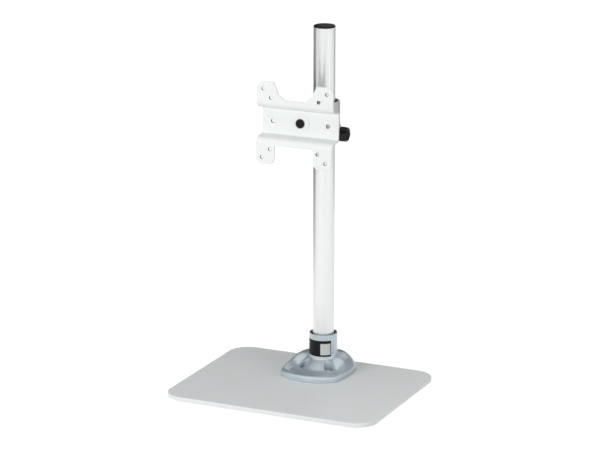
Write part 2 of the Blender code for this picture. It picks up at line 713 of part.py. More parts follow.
PAD_TIP = POLE_RADIUS + GAP
PAD_END = PAD_TIP + PRESSURE_PAD_LENGTH
CLAMP_TRAVEL = CLAMP_PITCH * CLAMP_TURNS
INSERT_START = BOSS_REACH - INSERT_LENGTH
boss_bore = turned(
    "boss_bore",
    [
        (PRESSURE_PAD_RADIUS + RUNNING_GAP, POLE_RADIUS),
        (PRESSURE_PAD_RADIUS + RUNNING_GAP, INSERT_START - GAP),
        (INSERT_RADIUS + GAP, INSERT_START - GAP),
        (INSERT_RADIUS + GAP, BOSS_REACH + GAP),
    ],
    SMALL_SIDES,
)
cut(sleeve, place_mesh("cutter_boss_bore", boss_bore, None, CLAMP_FRAME))
hinge_bore = turned("hinge_bore", [(M8_HOLE, -TONGUE_WIDTH), (M8_HOLE, TONGUE_WIDTH)], SMALL_SIDES)
hinge_bore_place = (0, -TILT_AXIS_FORWARD, TILT_AXIS_RISE)
cut(sleeve, place_mesh("cutter_hinge_bore", hinge_bore, None, SWIVEL_FRAME, hinge_bore_place, SIDEWAYS))


# Clamp: a brass thread insert, a pressure pad, and the knob on its screw, measured out from the pole's axis

place_mesh(
    "clamp_insert",
    tube_mesh(
        "clamp_insert",
        CLAMP_SCREW_RADIUS + RUNNING_GAP,
        INSERT_RADIUS,
        INSERT_START,
        BOSS_REACH,
        SMALL_SIDES,
    ),
    BRASS,
    CLAMP_FRAME,
)
place_mesh(
    "pressure_pad",
    turned("pressure_pad", [(PRESSURE_PAD_RADIUS, PAD_TIP), (PRESSURE_PAD_RADIUS, PAD_END)], SMALL_SIDES),
    NYLON,
    CLAMP_FRAME,
)
KNOB_START = BOSS_REACH + KNOB_CLEARANCE
KNOB_END = KNOB_START + KNOB_LENGTH
SCREW_END = KNOB_START + KNOB_BORE_DEPTH
place_mesh(
    "clamp_screw",
    turned(
        "clamp_screw",
        [(CLAMP_SCREW_RADIUS, PAD_END + GAP), (CLAMP_SCREW_RADIUS, SCREW_END)],
        SMALL_SIDES,
    ),
    ZINC_STEEL,
    CLAMP_FRAME,
)


def knob_loop(inset, level):
    """One section of the knob: a circle with a shallow flute between each pair of lobes."""
    sides = KNOB_LOBES * 6
    loop = []
    for k in range(sides):
        step = 2 * math.pi * k / sides
        flute = KNOB_FLUTE_DEPTH * (0.5 - 0.5 * math.cos(KNOB_LOBES * step)) ** 2
        radius = KNOB_RADIUS - inset - flute
        loop.append((radius * math.cos(step), radius * math.sin(step), level))
    return loop


knob = place_mesh(
    "clamp_knob",
    loft(
        "clamp_knob",
        [
            knob_loop(KNOB_EDGE_ROUND, KNOB_START),
            knob_loop(0, KNOB_START + KNOB_EDGE_ROUND),
            knob_loop(0, KNOB_END - KNOB_EDGE_ROUND),
            knob_loop(0.3 * KNOB_EDGE_ROUND, KNOB_END - 0.4 * KNOB_EDGE_ROUND),
            knob_loop(KNOB_EDGE_ROUND, KNOB_END),
        ],
    ),
    BLACK_PLASTIC,
    CLAMP_FRAME,
)
knob_bore = turned(
    "knob_bore",
    [(CLAMP_SCREW_RADIUS + GAP, KNOB_START - GAP), (CLAMP_SCREW_RADIUS + GAP, SCREW_END + GAP)],
    SMALL_SIDES,
)
cut(knob, place_mesh("cutter_knob_bore", knob_bore, None, CLAMP_FRAME))


# Tilt hinge: friction washers beside the tongue, and the bolt, nut and washers outside the yoke's cheeks

CHEEK_INNER = TONGUE_WIDTH / 2 + FRICTION_WASHER_THICKNESS + 2 * GAP
CHEEK_OUTER = CHEEK_INNER + CHEEK_THICKNESS
OUTER_WASHER_END = CHEEK_OUTER + GAP + WASHER_THICKNESS
TILT_HEAD_START = OUTER_WASHER_END + GAP
for side_name, side in (("left", -1), ("right", 1)):
    turn = (0, side * math.pi / 2, 0)
    friction_start = TONGUE_WIDTH / 2 + GAP
    place_mesh(
        f"friction_washer_{side_name}",
        tube_mesh(
            "friction_washer",
            M8_HOLE,
            FRICTION_WASHER_RADIUS,
            friction_start,
            friction_start + FRICTION_WASHER_THICKNESS,
            SMALL_SIDES,
        ),
        NYLON,
        SWIVEL_FRAME,
        (0, -TILT_AXIS_FORWARD, TILT_AXIS_RISE),
        turn,
    )
    place_mesh(
        f"tilt_washer_{side_name}",
        tube_mesh(
            "tilt_washer",
            M8_HOLE,
            WASHER_RADIUS,
            CHEEK_OUTER + GAP,
            CHEEK_OUTER + GAP + WASHER_THICKNESS,
            SMALL_SIDES,
        ),
        ZINC_STEEL,
        TILT_FRAME,
        turn=turn,
    )

BOLT_TIP = TILT_HEAD_START + M8_NUT_HEIGHT + M8_THREAD_OVERHANG
SHANK_START = -TILT_HEAD_START - M8_HEAD_HEIGHT / 2  # inside the head
tilt_bolt = place_mesh(
    "tilt_bolt",
    turned("tilt_bolt", [(M8_RADIUS, SHANK_START), (M8_RADIUS, BOLT_TIP)], SMALL_SIDES),
    ZINC_STEEL,
    TILT_FRAME,
    turn=SIDEWAYS,
)
bolt_head = prism(
    "bolt_head", hexagon(M8_NUT_WIDTH), -TILT_HEAD_START - M8_HEAD_HEIGHT, -TILT_HEAD_START
)
fuse(tilt_bolt, place_mesh("helper_bolt_head", bolt_head, None, TILT_FRAME, turn=SIDEWAYS))


def hex_nut(name, start, parent, turn):
    end = start + M8_NUT_HEIGHT
    nut = place_mesh(name, prism(name, hexagon(M8_NUT_WIDTH), start, end), ZINC_STEEL, parent, turn=turn)
    bore = turned(f"{name}_bore", [(M8_HOLE, start - GAP), (M8_HOLE, end + GAP)], SMALL_SIDES)
    cut(nut, place_mesh(f"cutter_{name}_bore", bore, None, parent, turn=turn))
    return nut


hex_nut("tilt_nut", TILT_HEAD_START, TILT_FRAME, SIDEWAYS)


# Pivot stack. Heights run forwards along the pivot's axis from the tilt hinge, in the pivot's frame

PANEL_FRONT = HEAD_REACH - BRACKET_RECESS
PANEL_BACK = PANEL_FRONT - BRACKET_THICKNESS
PIVOT_DISC_START = PANEL_BACK - GAP - PIVOT_DISC_THICKNESS
FLANGE_FRONT = PIVOT_DISC_START - GAP
FLANGE_BACK = FLANGE_FRONT - YOKE_FLANGE_THICKNESS
SPRING_WASHER_START = FLANGE_BACK - GAP - SPRING_WASHER_THICKNESS
PIVOT_NUT_START = SPRING_WASHER_START - GAP - M8_NUT_HEIGHT
PIVOT_WASHER_START = PANEL_FRONT + GAP
PIVOT_HEAD_START = PIVOT_WASHER_START + PIVOT_WASHER_THICKNESS + GAP

yoke = place_mesh(
    "tilt_yoke",
    turned(
        "tilt_yoke",
        [
            (YOKE_FLANGE_RADIUS - YOKE_FLANGE_CHAMFER, FLANGE_BACK),
            (YOKE_FLANGE_RADIUS, FLANGE_BACK + YOKE_FLANGE_CHAMFER),
            (YOKE_FLANGE_RADIUS, FLANGE_FRONT - YOKE_FLANGE_CHAMFER),
            (YOKE_FLANGE_RADIUS - YOKE_FLANGE_CHAMFER, FLANGE_FRONT),
        ],
        ROUND_SIDES,
    ),
    SLEEVE_PAINT,
    PIVOT_FRAME,
)
CHEEK_ROOT = FLANGE_BACK + YOKE_FLANGE_THICKNESS / 2
cheek_outline = [(-CHEEK_ROOT, -CHEEK_RADIUS), (-CHEEK_ROOT, CHEEK_RADIUS)]
cheek_outline = cheek_outline[::-1] + arc((0, 0), CHEEK_RADIUS, -90, 90, 12)
for side_name, side in (("left", -1), ("right", 1)):
    cheek = loft(
        f"cheek_{side_name}",
        [[(side * level, y, z) for y, z in cheek_outline] for level in (CHEEK_INNER, CHEEK_OUTER)],
    )
    fuse(yoke, place_mesh(f"helper_cheek_{side_name}", cheek, None, TILT_FRAME))
pivot_way = turned("pivot_way", [(M8_HOLE, FLANGE_BACK - GAP), (M8_HOLE, FLANGE_FRONT + GAP)], SMALL_SIDES)
cut(yoke, place_mesh("cutter_pivot_way", pivot_way, None, PIVOT_FRAME))
cheek_way = turned("cheek_way", [(M8_HOLE, -2 * CHEEK_OUTER), (M8_HOLE, 2 * CHEEK_OUTER)], SMALL_SIDES)
cut(yoke, place_mesh("cutter_cheek_way", cheek_way, None, TILT_FRAME, turn=SIDEWAYS))


def pivot_ring(name, outer, start, thickness, paint, sides=ROUND_SIDES):
    mesh = tube_mesh(name, M8_HOLE, outer, start, start + thickness, sides)
    return place_mesh(name, mesh, paint, PIVOT_FRAME)


pivot_ring("pivot_friction_disc", PIVOT_DISC_RADIUS, PIVOT_DISC_START, PIVOT_DISC_THICKNESS, NYLON)
pivot_ring("pivot_washer", PIVOT_WASHER_RADIUS, PIVOT_WASHER_START, PIVOT_WASHER_THICKNESS, WHITE_PAINT)
pivot_ring(
    "pivot_spring_washer",
    WASHER_RADIUS,
    SPRING_WASHER_START,
    SPRING_WASHER_THICKNESS,
    ZINC_STEEL,
    SMALL_SIDES,
)
hex_nut("pivot_nut", PIVOT_NUT_START, PIVOT_FRAME, (0, 0, 0))
PIVOT_SCREW = Screw(
    M8_RADIUS,
    PIVOT_HEAD_START - PIVOT_NUT_START + M8_THREAD_OVERHANG / 2,
    PIVOT_HEAD_RADIUS,
    PIVOT_HEAD_HEIGHT,
    PIVOT_KEY,
    PIVOT_KEY_DEPTH,
)
button_screw("pivot_bolt", BLACK_STEEL, PIVOT_SCREW, PIVOT_FRAME, (0, 0, PIVOT_HEAD_START))


# Screen bracket: one sheet folded back behind the screen and forward again, with four ears

def bent_line(points, radii, count=5):
    """A polyline whose inner corners are rounded, each to its own radius."""
    points = [Vector(point) for point in points]
    line = [points[0]]
    for before, corner, after, radius in zip(points, points[1:], points[2:], radii):
        toward, away = (before - corner).normalized(), (after - corner).normalized()
        half = toward.angle(away) / 2
        reach = radius / math.tan(half)
        middle = corner + (toward + away).normalized() * (radius / math.sin(half))
        start, end = corner + toward * reach, corner + away * reach
        for k in range(count + 1):
            spoke = (start - middle).lerp(end - middle, k / count).normalized() * radius
            line.append(middle + spoke)
    line.append(points[-1])
    return line


def sheet_outline(line, thickness):
    """Both faces of a sheet whose middle surface follows the line."""
    left, right = [], []
    for k, point in enumerate(line):
        before, after = line[max(0, k - 1)], line[min(len(line) - 1, k + 1)]
        along = (after - before).normalized()
        side = Vector((along.y, -along.x)) * thickness / 2
        left.append(point + side)
        right.append(point - side)
    return [tuple(point) for point in left + right[::-1]]


EAR_MIDDLE = -HEAD_REACH + BRACKET_THICKNESS / 2
PANEL_MIDDLE = EAR_MIDDLE + BRACKET_RECESS
FOLD_END = BRACKET_SIZE / 2 + CUT_PAST
fold = bent_line(
    [
        (EAR_MIDDLE, FOLD_END),
        (EAR_MIDDLE, EAR_START),
        (PANEL_MIDDLE, PANEL_HALF_HEIGHT),
        (PANEL_MIDDLE, -PANEL_HALF_HEIGHT),
        (EAR_MIDDLE, -EAR_START),
        (EAR_MIDDLE, -FOLD_END),
    ],
    [EAR_BEND_RADIUS, PANEL_BEND_RADIUS, PANEL_BEND_RADIUS, EAR_BEND_RADIUS],
)
bracket = place_mesh(
    "screen_bracket",
    sideways_prism("screen_bracket", sheet_outline(fold, BRACKET_THICKNESS), FOLD_END),
    WHITE_PAINT,
    TILT_FRAME,
    rounded=False,
)


def bracket_outline():
    """The bracket seen from the front, as x and z, from the upper right ear round to the left."""
    half = BRACKET_SIZE / 2
    inner = half - BRACKET_CORNER_RADIUS
    outline = arc((inner, inner), BRACKET_CORNER_RADIUS, 0, 90, 6)
    shoulder_x, shoulder_z = SCALLOP_SHOULDER
    scallop = bent_line(
        [
            (SCALLOP_TOP_HALF_WIDTH, half),
            (shoulder_x, shoulder_z),
            (SCALLOP_FLAT_HALF_WIDTH, SCALLOP_LEVEL),
            (0, SCALLOP_LEVEL),
        ],
        [SCALLOP_ROUND, SCALLOP_ROUND],
        3,
    )[:-1]
    outline += [tuple(point) for point in scallop]
    outline += [(-point[0], point[1]) for point in reversed(scallop)]
    outline += arc((-inner, inner), BRACKET_CORNER_RADIUS, 90, 180, 6)
    outline += arc((-inner, -inner), BRACKET_CORNER_RADIUS, 180, 270, 6)
    toe = EAR_TOE_RADIUS
    corner = CUTOUT_CORNER_RADIUS
    left = arc((-CUTOUT_HALF_WIDTH - toe, -half + toe), toe, 270, 360, 4)
    left += arc((-CUTOUT_HALF_WIDTH + corner, -CUTOUT_LEVEL - corner), corner, 180, 90, 3)
    outline += left
    outline += [(-x, z) for x, z in reversed(left)]
    outline += arc((inner, -inner), BRACKET_CORNER_RADIUS, 270, 360, 6)
    return outline


blank = prism("bracket_blank", bracket_outline(), PANEL_BACK - CUT_PAST, HEAD_REACH + CUT_PAST)
combine(bracket, place_mesh("helper_bracket_blank", blank, None, PIVOT_FRAME), "INTERSECT")


def bracket_hole(name, x, z, radius):
    mesh = turned(name, [(radius, PANEL_BACK - CUT_PAST), (radius, HEAD_REACH + CUT_PAST)], 16)
    cut(bracket, place_mesh(f"cutter_{name}", mesh, None, PIVOT_FRAME, (x, z, 0)))


for pattern_name, pattern in (("large", LARGE_PATTERN), ("small", SMALL_PATTERN)):
    for number, (side, end) in enumerate(((-1, 1), (1, 1), (-1, -1), (1, -1)), 1):
        x, z = side * pattern / 2, end * pattern / 2
        bracket_hole(f"{pattern_name}_hole_{number}", x, z, SCREEN_HOLE_RADIUS)
bracket_hole("middle_hole_left", -MIDDLE_HOLE_OFFSET, 0, MIDDLE_HOLE_RADIUS)
bracket_hole("middle_hole_right", MIDDLE_HOLE_OFFSET, 0, MIDDLE_HOLE_RADIUS)
bracket_hole("pivot_hole", 0, 0, M8_HOLE)
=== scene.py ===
"""Monitor stand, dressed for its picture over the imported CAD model.

Lengths are in metres. The origin is on the desk under the middle of the base plate, +Z is up, and the
screen side faces -Y.
"""

import math

import bmesh
import bpy
import numpy as np
from mathutils import Matrix, Vector


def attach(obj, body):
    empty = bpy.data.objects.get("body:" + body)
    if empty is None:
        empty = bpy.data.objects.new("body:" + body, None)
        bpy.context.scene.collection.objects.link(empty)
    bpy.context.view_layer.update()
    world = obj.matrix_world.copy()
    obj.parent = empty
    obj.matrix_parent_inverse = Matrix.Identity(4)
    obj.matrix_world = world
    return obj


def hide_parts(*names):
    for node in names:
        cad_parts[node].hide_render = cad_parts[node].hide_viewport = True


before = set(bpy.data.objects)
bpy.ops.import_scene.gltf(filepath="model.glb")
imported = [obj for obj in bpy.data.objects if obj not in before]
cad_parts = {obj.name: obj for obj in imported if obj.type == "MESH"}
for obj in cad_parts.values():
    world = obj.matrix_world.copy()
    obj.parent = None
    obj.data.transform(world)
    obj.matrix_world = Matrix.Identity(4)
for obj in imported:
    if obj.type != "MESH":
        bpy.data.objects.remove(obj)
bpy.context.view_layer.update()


# Studio. A pale desk under three soft lamps, white all round it for the camera, and the camera at the
# photograph's place. Mirror rays see grey and dark cards in place of the lamps, and the cards shade the
# round pole, the foot and the black pieces.

MM = 0.001
CAMERA_PLACE = Vector((1.6559, -3.6214, 1.3471))
CAMERA_AZIMUTH = math.radians(24.59)
CAMERA_ELEVATION = math.radians(15.40)
CAMERA_ROLL = math.radians(0.10)
CAMERA_LENS = 170.89
CAMERA_SENSOR = 36.0
CAMERA_FARTHEST = 100
LAMP_TARGET = Vector((0, 0.02, 0.22))
DESK_SIZE = 40.0
DESK_DROP = 0.2 * MM
DESK_GREY = (0.45, 0.45, 0.45, 1)
DESK_SHADOW_GREY = (0.35, 0.35, 0.35, 1)
DESK_WHITE = 0.90
SKY_STRENGTH = 0.30
FULL_WHITE = (1, 1, 1, 1)
FULL_BLACK = (0, 0, 0, 1)


def added(name, data):
    """An object of the scene made from its data."""
    made = bpy.data.objects.new(name, data)
    bpy.context.scene.collection.objects.link(made)
    return made


def lamp(name, toward, distance, power, width, height):
    """A soft lamp that shines on the stand from one direction and that mirror rays don't see."""
    data = bpy.data.lights.new(name, "AREA")
    data.shape = "RECTANGLE"
    data.size = width
    data.size_y = height
    data.energy = power
    made = added(name, data)
    made.location = LAMP_TARGET + Vector(toward).normalized() * distance
    made.rotation_euler = (made.location - LAMP_TARGET).to_track_quat("Z", "Y").to_euler()
    made.visible_camera = False
    made.visible_glossy = False


def wire(tree, made, inputs):
    """Gives a node's inputs numbers, colours or other nodes' outputs."""
    for label, value in inputs.items():
        if isinstance(value, bpy.types.NodeSocket):
            tree.links.new(value, made.inputs[label])
        else:
            made.inputs[label].default_value = value
    return made


def node(tree, kind, inputs=None, **settings):
    """A new node with its settings and its inputs."""
    made = tree.nodes.new(kind)
    for label, value in settings.items():
        setattr(made, label, value)
    return wire(tree, made, inputs or {})


def maths(tree, operation, *values):
    """What a Math node makes of numbers or sockets."""
    return node(tree, "ShaderNodeMath", dict(enumerate(values)), operation=operation).outputs[0]


def shown(tree, end, bounced, seen):
    """Shows one shader to the camera, in mirrors and through glass, and another to bounced light."""
    path = node(tree, "ShaderNodeLightPath").outputs
    sharp = maths(tree, "MAXIMUM", path["Is Camera Ray"], path["Is Glossy Ray"])
    clear = maths(tree, "MAXIMUM", sharp, path["Is Transmission Ray"])
    choice = node(tree, "ShaderNodeMixShader", {0: clear, 1: bounced.outputs[0], 2: seen.outputs[0]})
    wire(tree, tree.nodes[end], {"Surface": choice.outputs[0]})


def desk_surface():
    """White to the camera with the stand's shadow kept, and a plain grey to bounced light."""
    made = bpy.data.materials.new("desk")
    made.use_nodes = True
    tree = made.node_tree
    tree.nodes.remove(tree.nodes["Principled BSDF"])
    bounce = node(tree, "ShaderNodeBsdfDiffuse", {"Color": DESK_GREY})
    shade = node(tree, "ShaderNodeBsdfDiffuse", {"Color": DESK_SHADOW_GREY})
    glow = node(tree, "ShaderNodeEmission", {"Strength": DESK_WHITE})
    seen = node(tree, "ShaderNodeAddShader", {0: shade.outputs[0], 1: glow.outputs[0]})
    shown(tree, "Material Output", bounce, seen)
    return made


def white_sky():
    """White behind the stand, and a dimmer light on it from all round."""
    world = bpy.data.worlds.new("studio")
    world.use_nodes = True
    tree = world.node_tree
    light = wire(tree, tree.nodes["Background"], {"Color": FULL_WHITE, "Strength": SKY_STRENGTH})
    shown(tree, "World Output", light, node(tree, "ShaderNodeBackground", {"Color": FULL_WHITE}))
    bpy.context.scene.world = world


def sheet(name, corner, along, up, surface):
    """A flat sheet of the studio."""
    corner, along, up = Vector(corner), Vector(along), Vector(up)
    mesh = bpy.data.meshes.new(name)
    mesh.from_pydata([corner, corner + along, corner + along + up, corner + up], [], [(0, 1, 2, 3)])
    mesh.materials.append(surface)
    return added(name, mesh)


def card(name, grey, corner, along, up):
    """A sheet of one grey that only mirror rays see."""
    surface = bpy.data.materials.new(name)
    surface.use_nodes = True
    tree = surface.node_tree
    glow = {"Emission Color": FULL_WHITE, "Emission Strength": grey}
    wire(tree, tree.nodes["Principled BSDF"], {"Base Color": FULL_BLACK, "Specular IOR Level": 0, **glow})
    made = sheet(name, corner, along, up, surface)
    for rays in ("camera", "diffuse", "shadow", "transmission"):
        setattr(made, f"visible_{rays}", False)


level_reach = math.cos(CAMERA_ELEVATION)
back_across, back_along = math.sin(CAMERA_AZIMUTH) * level_reach, -math.cos(CAMERA_AZIMUTH) * level_reach
back = Vector((back_across, back_along, math.sin(CAMERA_ELEVATION)))
level = (-back).cross(Vector((0, 0, 1))).normalized()
upright = level.cross(-back)
right = level * math.cos(CAMERA_ROLL) + upright * math.sin(CAMERA_ROLL)
up = upright * math.cos(CAMERA_ROLL) - level * math.sin(CAMERA_ROLL)
camera = added("camera", bpy.data.cameras.new("camera"))
camera.data.lens = CAMERA_LENS
camera.data.sensor_width = CAMERA_SENSOR
camera.data.clip_end = CAMERA_FARTHEST
camera.matrix_world = Matrix.Translation(CAMERA_PLACE) @ Matrix((right, up, back)).transposed().to_4x4()
bpy.context.scene.camera = camera
lamp("left_lamp", toward=(-0.31, -0.93, 0.12), distance=1.9, power=21.5, width=0.9, height=0.8)
lamp("right_lamp", toward=(0.95, -0.17, 0.12), distance=1.9, power=12.5, width=0.9, height=0.9)
lamp("top_lamp", toward=(-0.1, -0.18, 1.0), distance=1.8, power=9.5, width=1.2, height=1.2)
white_sky()
card("front_card", grey=0.7, corner=(-0.21, -1.18, 0.05), along=(-0.83, 0.58, 0), up=(0, 0, 0.55))
card("left_card", grey=0.0, corner=(-0.6, -0.12, 0.12), along=(0, 1.5, 0), up=(0, 0, 1.0))
card("low_left_card", grey=0.45, corner=(-0.6, -0.12, 0.0), along=(0, 1.5, 0), up=(0, 0, 0.12))
card("top_card", grey=0.12, corner=(-1.6, -0.4, 1.6), along=(3.2, 0, 0), up=(0, 3.0, 0))
card("back_card", grey=0.15, corner=(-2.0, 2.6, 0.0), along=(4.0, 0, 0), up=(0, 0, 1.6))
card("right_card", grey=0.15, corner=(0.18, 0.6, 0.12), along=(0.2, 0, 0), up=(0, 0, 0.6))
card("behind_card", grey=0.8, corner=(-0.2, 0.6, 0.14), along=(0.3, 0, 0), up=(0, 0, 1.0))
desk_corner = (-DESK_SIZE / 2, -DESK_SIZE / 2, -DESK_DROP)
desk = sheet("desk", desk_corner, (DESK_SIZE, 0, 0), (0, DESK_SIZE, 0), desk_surface())
bpy.context.scene.view_settings.view_transform = "Standard"


# Base plate. A heavy slab of steel with rounded corners, powder coated pale grey. It is laser cut, its
# edges are rounded, and it is drilled for the foot's screws and countersunk below for the pole's bolt.

PLATE_WIDTH = 330 * MM
PLATE_DEPTH = 262 * MM
PLATE_BOTTOM = 2 * MM
PLATE_TOP = 8 * MM
PLATE_CORNER = 32 * MM
PLATE_EDGE_ROUND = 0.9 * MM
PLATE_WAY_TOP = 10 * MM
POLE_Y = 81.7 * MM
AT_POLE = Matrix.Translation((0, POLE_Y, 0))
SCREW_SIDEWAYS = 19 * MM
SCREW_FORWARD = 24 * MM
SCREW_WAY = 2.8 * MM
BOLT_WAY = 5.3 * MM
BOLT_HEAD_WAY = 9.3 * MM
BOLT_FACE = 2.3 * MM
PALE_GREY = (0.83, 0.855, 0.855)


def softened(corners, count, closed=True):
    """A line through (across, up, rounding) corners, each rounded to its own radius in count steps."""
    line = []
    for k, (across, up, rounding) in enumerate(corners):
        corner = Vector((across, up))
        at_end = not closed and k in (0, len(corners) - 1)
        if at_end or not rounding:
            line.append(tuple(corner))
            continue
        toward = (Vector(corners[k - 1][:2]) - corner).normalized()
        away = (Vector(corners[(k + 1) % len(corners)][:2]) - corner).normalized()
        half = toward.angle(away) / 2
        middle = corner + (toward + away).normalized() * rounding / math.sin(half)
        start = corner + toward * rounding / math.tan(half) - middle
        end = corner + away * rounding / math.tan(half) - middle
        for step in range(count + 1):
            line.append(tuple(middle + start.lerp(end, step / count).normalized() * rounding))
    return line


def skin(loops, ring=False):
    """A closed shape over loops of points. A loop of one point is a tip, and open ends are capped."""
    shape = bmesh.new()
    rows = [[shape.verts.new(point) for point in loop] for loop in loops]
    spans = list(zip(rows, rows[1:]))
    if ring:
        spans.append((rows[-1], rows[0]))
    count = max(len(row) for row in rows)
    for near, far in spans:
        for k in range(count):
            after = (k + 1) % count
            corners = [near[k % len(near)], near[after % len(near)]]
            corners += [far[after % len(far)], far[k % len(far)]]
            shape.faces.new(list(dict.fromkeys(corners)))
    if not ring:
        for end in (rows[0], rows[-1]):
            if len(end) > 2:
                shape.faces.new(end)
    bmesh.ops.recalc_face_normals(shape, faces=shape.faces)
    return shape


def circle(radius, level, sides):
    """A round loop of points about Z."""
    steps = [2 * math.pi * k / sides for k in range(sides)]
    return [(radius * math.cos(step), radius * math.sin(step), level) for step in steps]


def revolve(profile, sides, ring=False):
    """A shape turned about Z from (radius, height) points."""
    return skin([circle(radius, up, sides) if radius else [(0, 0, up)] for radius, up in profile], ring)


def placed(shape, place):
    """A shape moved to its place."""
    shape.transform(place)
    return shape


def round_way(radius, low, high, sides=64):
    """The shape that a drill takes out, from one level to another."""
    return revolve([(0, low), (radius, low), (radius, high), (0, high)], sides)


def formed(name, shape, place=Matrix.Identity(4)):
    """An object made from a shape, with its place in its mesh."""
    mesh = bpy.data.meshes.new(name)
    placed(shape, place).to_mesh(mesh)
    shape.free()
    return added(name, mesh)


def plain(piece):
    """Turns what an object's modifiers make into its own plain mesh."""
    graph = bpy.context.evaluated_depsgraph_get()
    mesh = bpy.data.meshes.new_from_object(piece.evaluated_get(graph))
    piece.modifiers.clear()
    piece.data = mesh


def combined(piece, operation, *shapes):
    """Joins closed shapes to a piece, or cuts them out of it."""
    for shape in shapes:
        tool = formed("tool", shape)
        step = piece.modifiers.new("tool", "BOOLEAN")
        step.operation = operation
        step.solver = "EXACT"
        step.object = tool
        plain(piece)
        bpy.data.objects.remove(tool)
    return piece


def bored(piece, *ways):
    """Cuts ways through a piece."""
    return combined(piece, "DIFFERENCE", *ways)


def dress(piece, finish, body, slot, *nodes, sharp=32):
    """Gives a piece its finish and its shading, and lets it stand for its CAD nodes on their body."""
    mesh = piece.data
    mesh.materials.clear()
    mesh.materials.append(finish)
    mesh.shade_smooth()
    mesh.set_sharp_from_angle(angle=math.radians(sharp))
    step = piece.modifiers.new("flat_faces", "WEIGHTED_NORMAL")
    step.keep_sharp = True
    plain(piece)
    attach(piece, body)
    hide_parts(*nodes)


def coat(name, colour, roughness, metallic=0.0, specular=0.5):
    """A finish of one colour."""
    made = bpy.data.materials.new(name)
    made.use_nodes = True
    gloss = {"Roughness": roughness, "Metallic": metallic, "Specular IOR Level": specular}
    wire(made.node_tree, made.node_tree.nodes["Principled BSDF"], {"Base Color": (*colour, 1), **gloss})
    made.diffuse_color = (*colour, 1)
    return made


def grained(finish, scale, tone=0.0, dulling=0.0, relief=0.0, stretch=(1, 1, 1)):
    """Adds a noise to a finish, which varies its tone, its roughness and its relief."""
    tree = finish.node_tree
    shader = tree.nodes["Principled BSDF"]
    where = node(tree, "ShaderNodeTexCoord").outputs["Object"]
    drawn = node(tree, "ShaderNodeMapping", {"Vector": where, "Scale": stretch}).outputs["Vector"]
    noise = node(tree, "ShaderNodeTexNoise", {"Vector": drawn, "Scale": scale, "Detail": 2.0}).outputs["Fac"]

    def held(label):
        """What feeds one of the shader's inputs, or its plain value."""
        socket = shader.inputs[label]
        if socket.is_linked:
            return socket.links[0].from_socket
        return socket.default_value[:3] if label == "Base Color" else socket.default_value

    def ranged(low, high):
        """The noise spread between two values."""
        bounds = {"Value": noise, "From Min": 0.3, "From Max": 0.7, "To Min": low, "To Max": high}
        return node(tree, "ShaderNodeMapRange", bounds).outputs["Result"]

    if tone:
        shading = {0: held("Base Color"), "Scale": ranged(1 - tone, 1 + tone)}
        mixed = node(tree, "ShaderNodeVectorMath", shading, operation="SCALE")
        wire(tree, shader, {"Base Color": mixed.outputs["Vector"]})
    if dulling:
        values = {0: held("Roughness"), 1: ranged(-dulling, dulling)}
        shifted = node(tree, "ShaderNodeMath", values, operation="ADD", use_clamp=True)
        wire(tree, shader, {"Roughness": shifted.outputs[0]})
    if relief:
        bump = node(tree, "ShaderNodeBump", {"Distance": relief, "Normal": held("Normal"), "Height": noise})
        wire(tree, shader, {"Normal": bump.outputs["Normal"]})
    return finish


def rectangle(x, y, rounding, count):
    """A rectangle round its middle, x and y from its sides, with rounded corners."""
    return softened([(x, y, rounding), (-x, y, rounding), (-x, -y, rounding), (x, -y, rounding)], count)


def plate_line(inset, level):
    """The plate's outline, moved in by an inset, at one level."""
    line = rectangle(PLATE_WIDTH / 2 - inset, PLATE_DEPTH / 2 - inset, PLATE_CORNER - inset, 24)
    return [(across, along, level) for across, along in line]


edge = []
for k in range(7):
    turn = math.radians(15 * k)
    edge.append((PLATE_EDGE_ROUND * (1 - math.sin(turn)), PLATE_EDGE_ROUND * (1 - math.cos(turn))))
plate_loops = [plate_line(inset, PLATE_BOTTOM + rise) for inset, rise in edge]
plate_loops += [plate_line(inset, PLATE_TOP - drop) for drop, inset in edge]
SCREW_PLACES = [(side * SCREW_SIDEWAYS, end * SCREW_FORWARD) for side in (-1, 1) for end in (-1, 1)]
plate_ways = []
for across, along in SCREW_PLACES:
    at_screw = Matrix.Translation((across, POLE_Y + along, 0))
    plate_ways.append(placed(round_way(SCREW_WAY, 0, PLATE_WAY_TOP, 32), at_screw))
cone_top = BOLT_FACE + BOLT_HEAD_WAY - BOLT_WAY
countersink = [(0, 0), (BOLT_HEAD_WAY, 0), (BOLT_HEAD_WAY, BOLT_FACE), (BOLT_WAY, cone_top)]
countersink += [(BOLT_WAY, PLATE_WAY_TOP), (0, PLATE_WAY_TOP)]
plate_ways.append(placed(revolve(countersink, 64), AT_POLE))
plate_paint = coat("pale_grey_powder", PALE_GREY, 0.48)
grained(plate_paint, 900, tone=0.01, dulling=0.05, relief=0.02 * MM)
grained(plate_paint, 14, tone=0.012)
slab = bored(formed("plate_slab", skin(plate_loops)), *plate_ways)
dress(slab, plate_paint, "base", "plate_paint", "base_plate")


# Desk pads. Four round feet of black rubber, moulded with a soft edge, stuck under the plate's corners so
# that the stand neither slides nor marks the desk.

PAD_RADIUS = 14 * MM
PAD_TOP = 1.7 * MM
PAD_INSET = 34 * MM


def pin_line(radius, low, high, low_round, high_round):
    """The profile of a round pin, with a rounding for each of its edges."""
    return [(0, low, 0), (radius, low, low_round), (radius, high, high_round), (0, high, 0)]


def pin(corners, count, sides):
    """A shape without a bore, turned about Z from its rounded profile."""
    return revolve(softened(corners, count, False), sides)


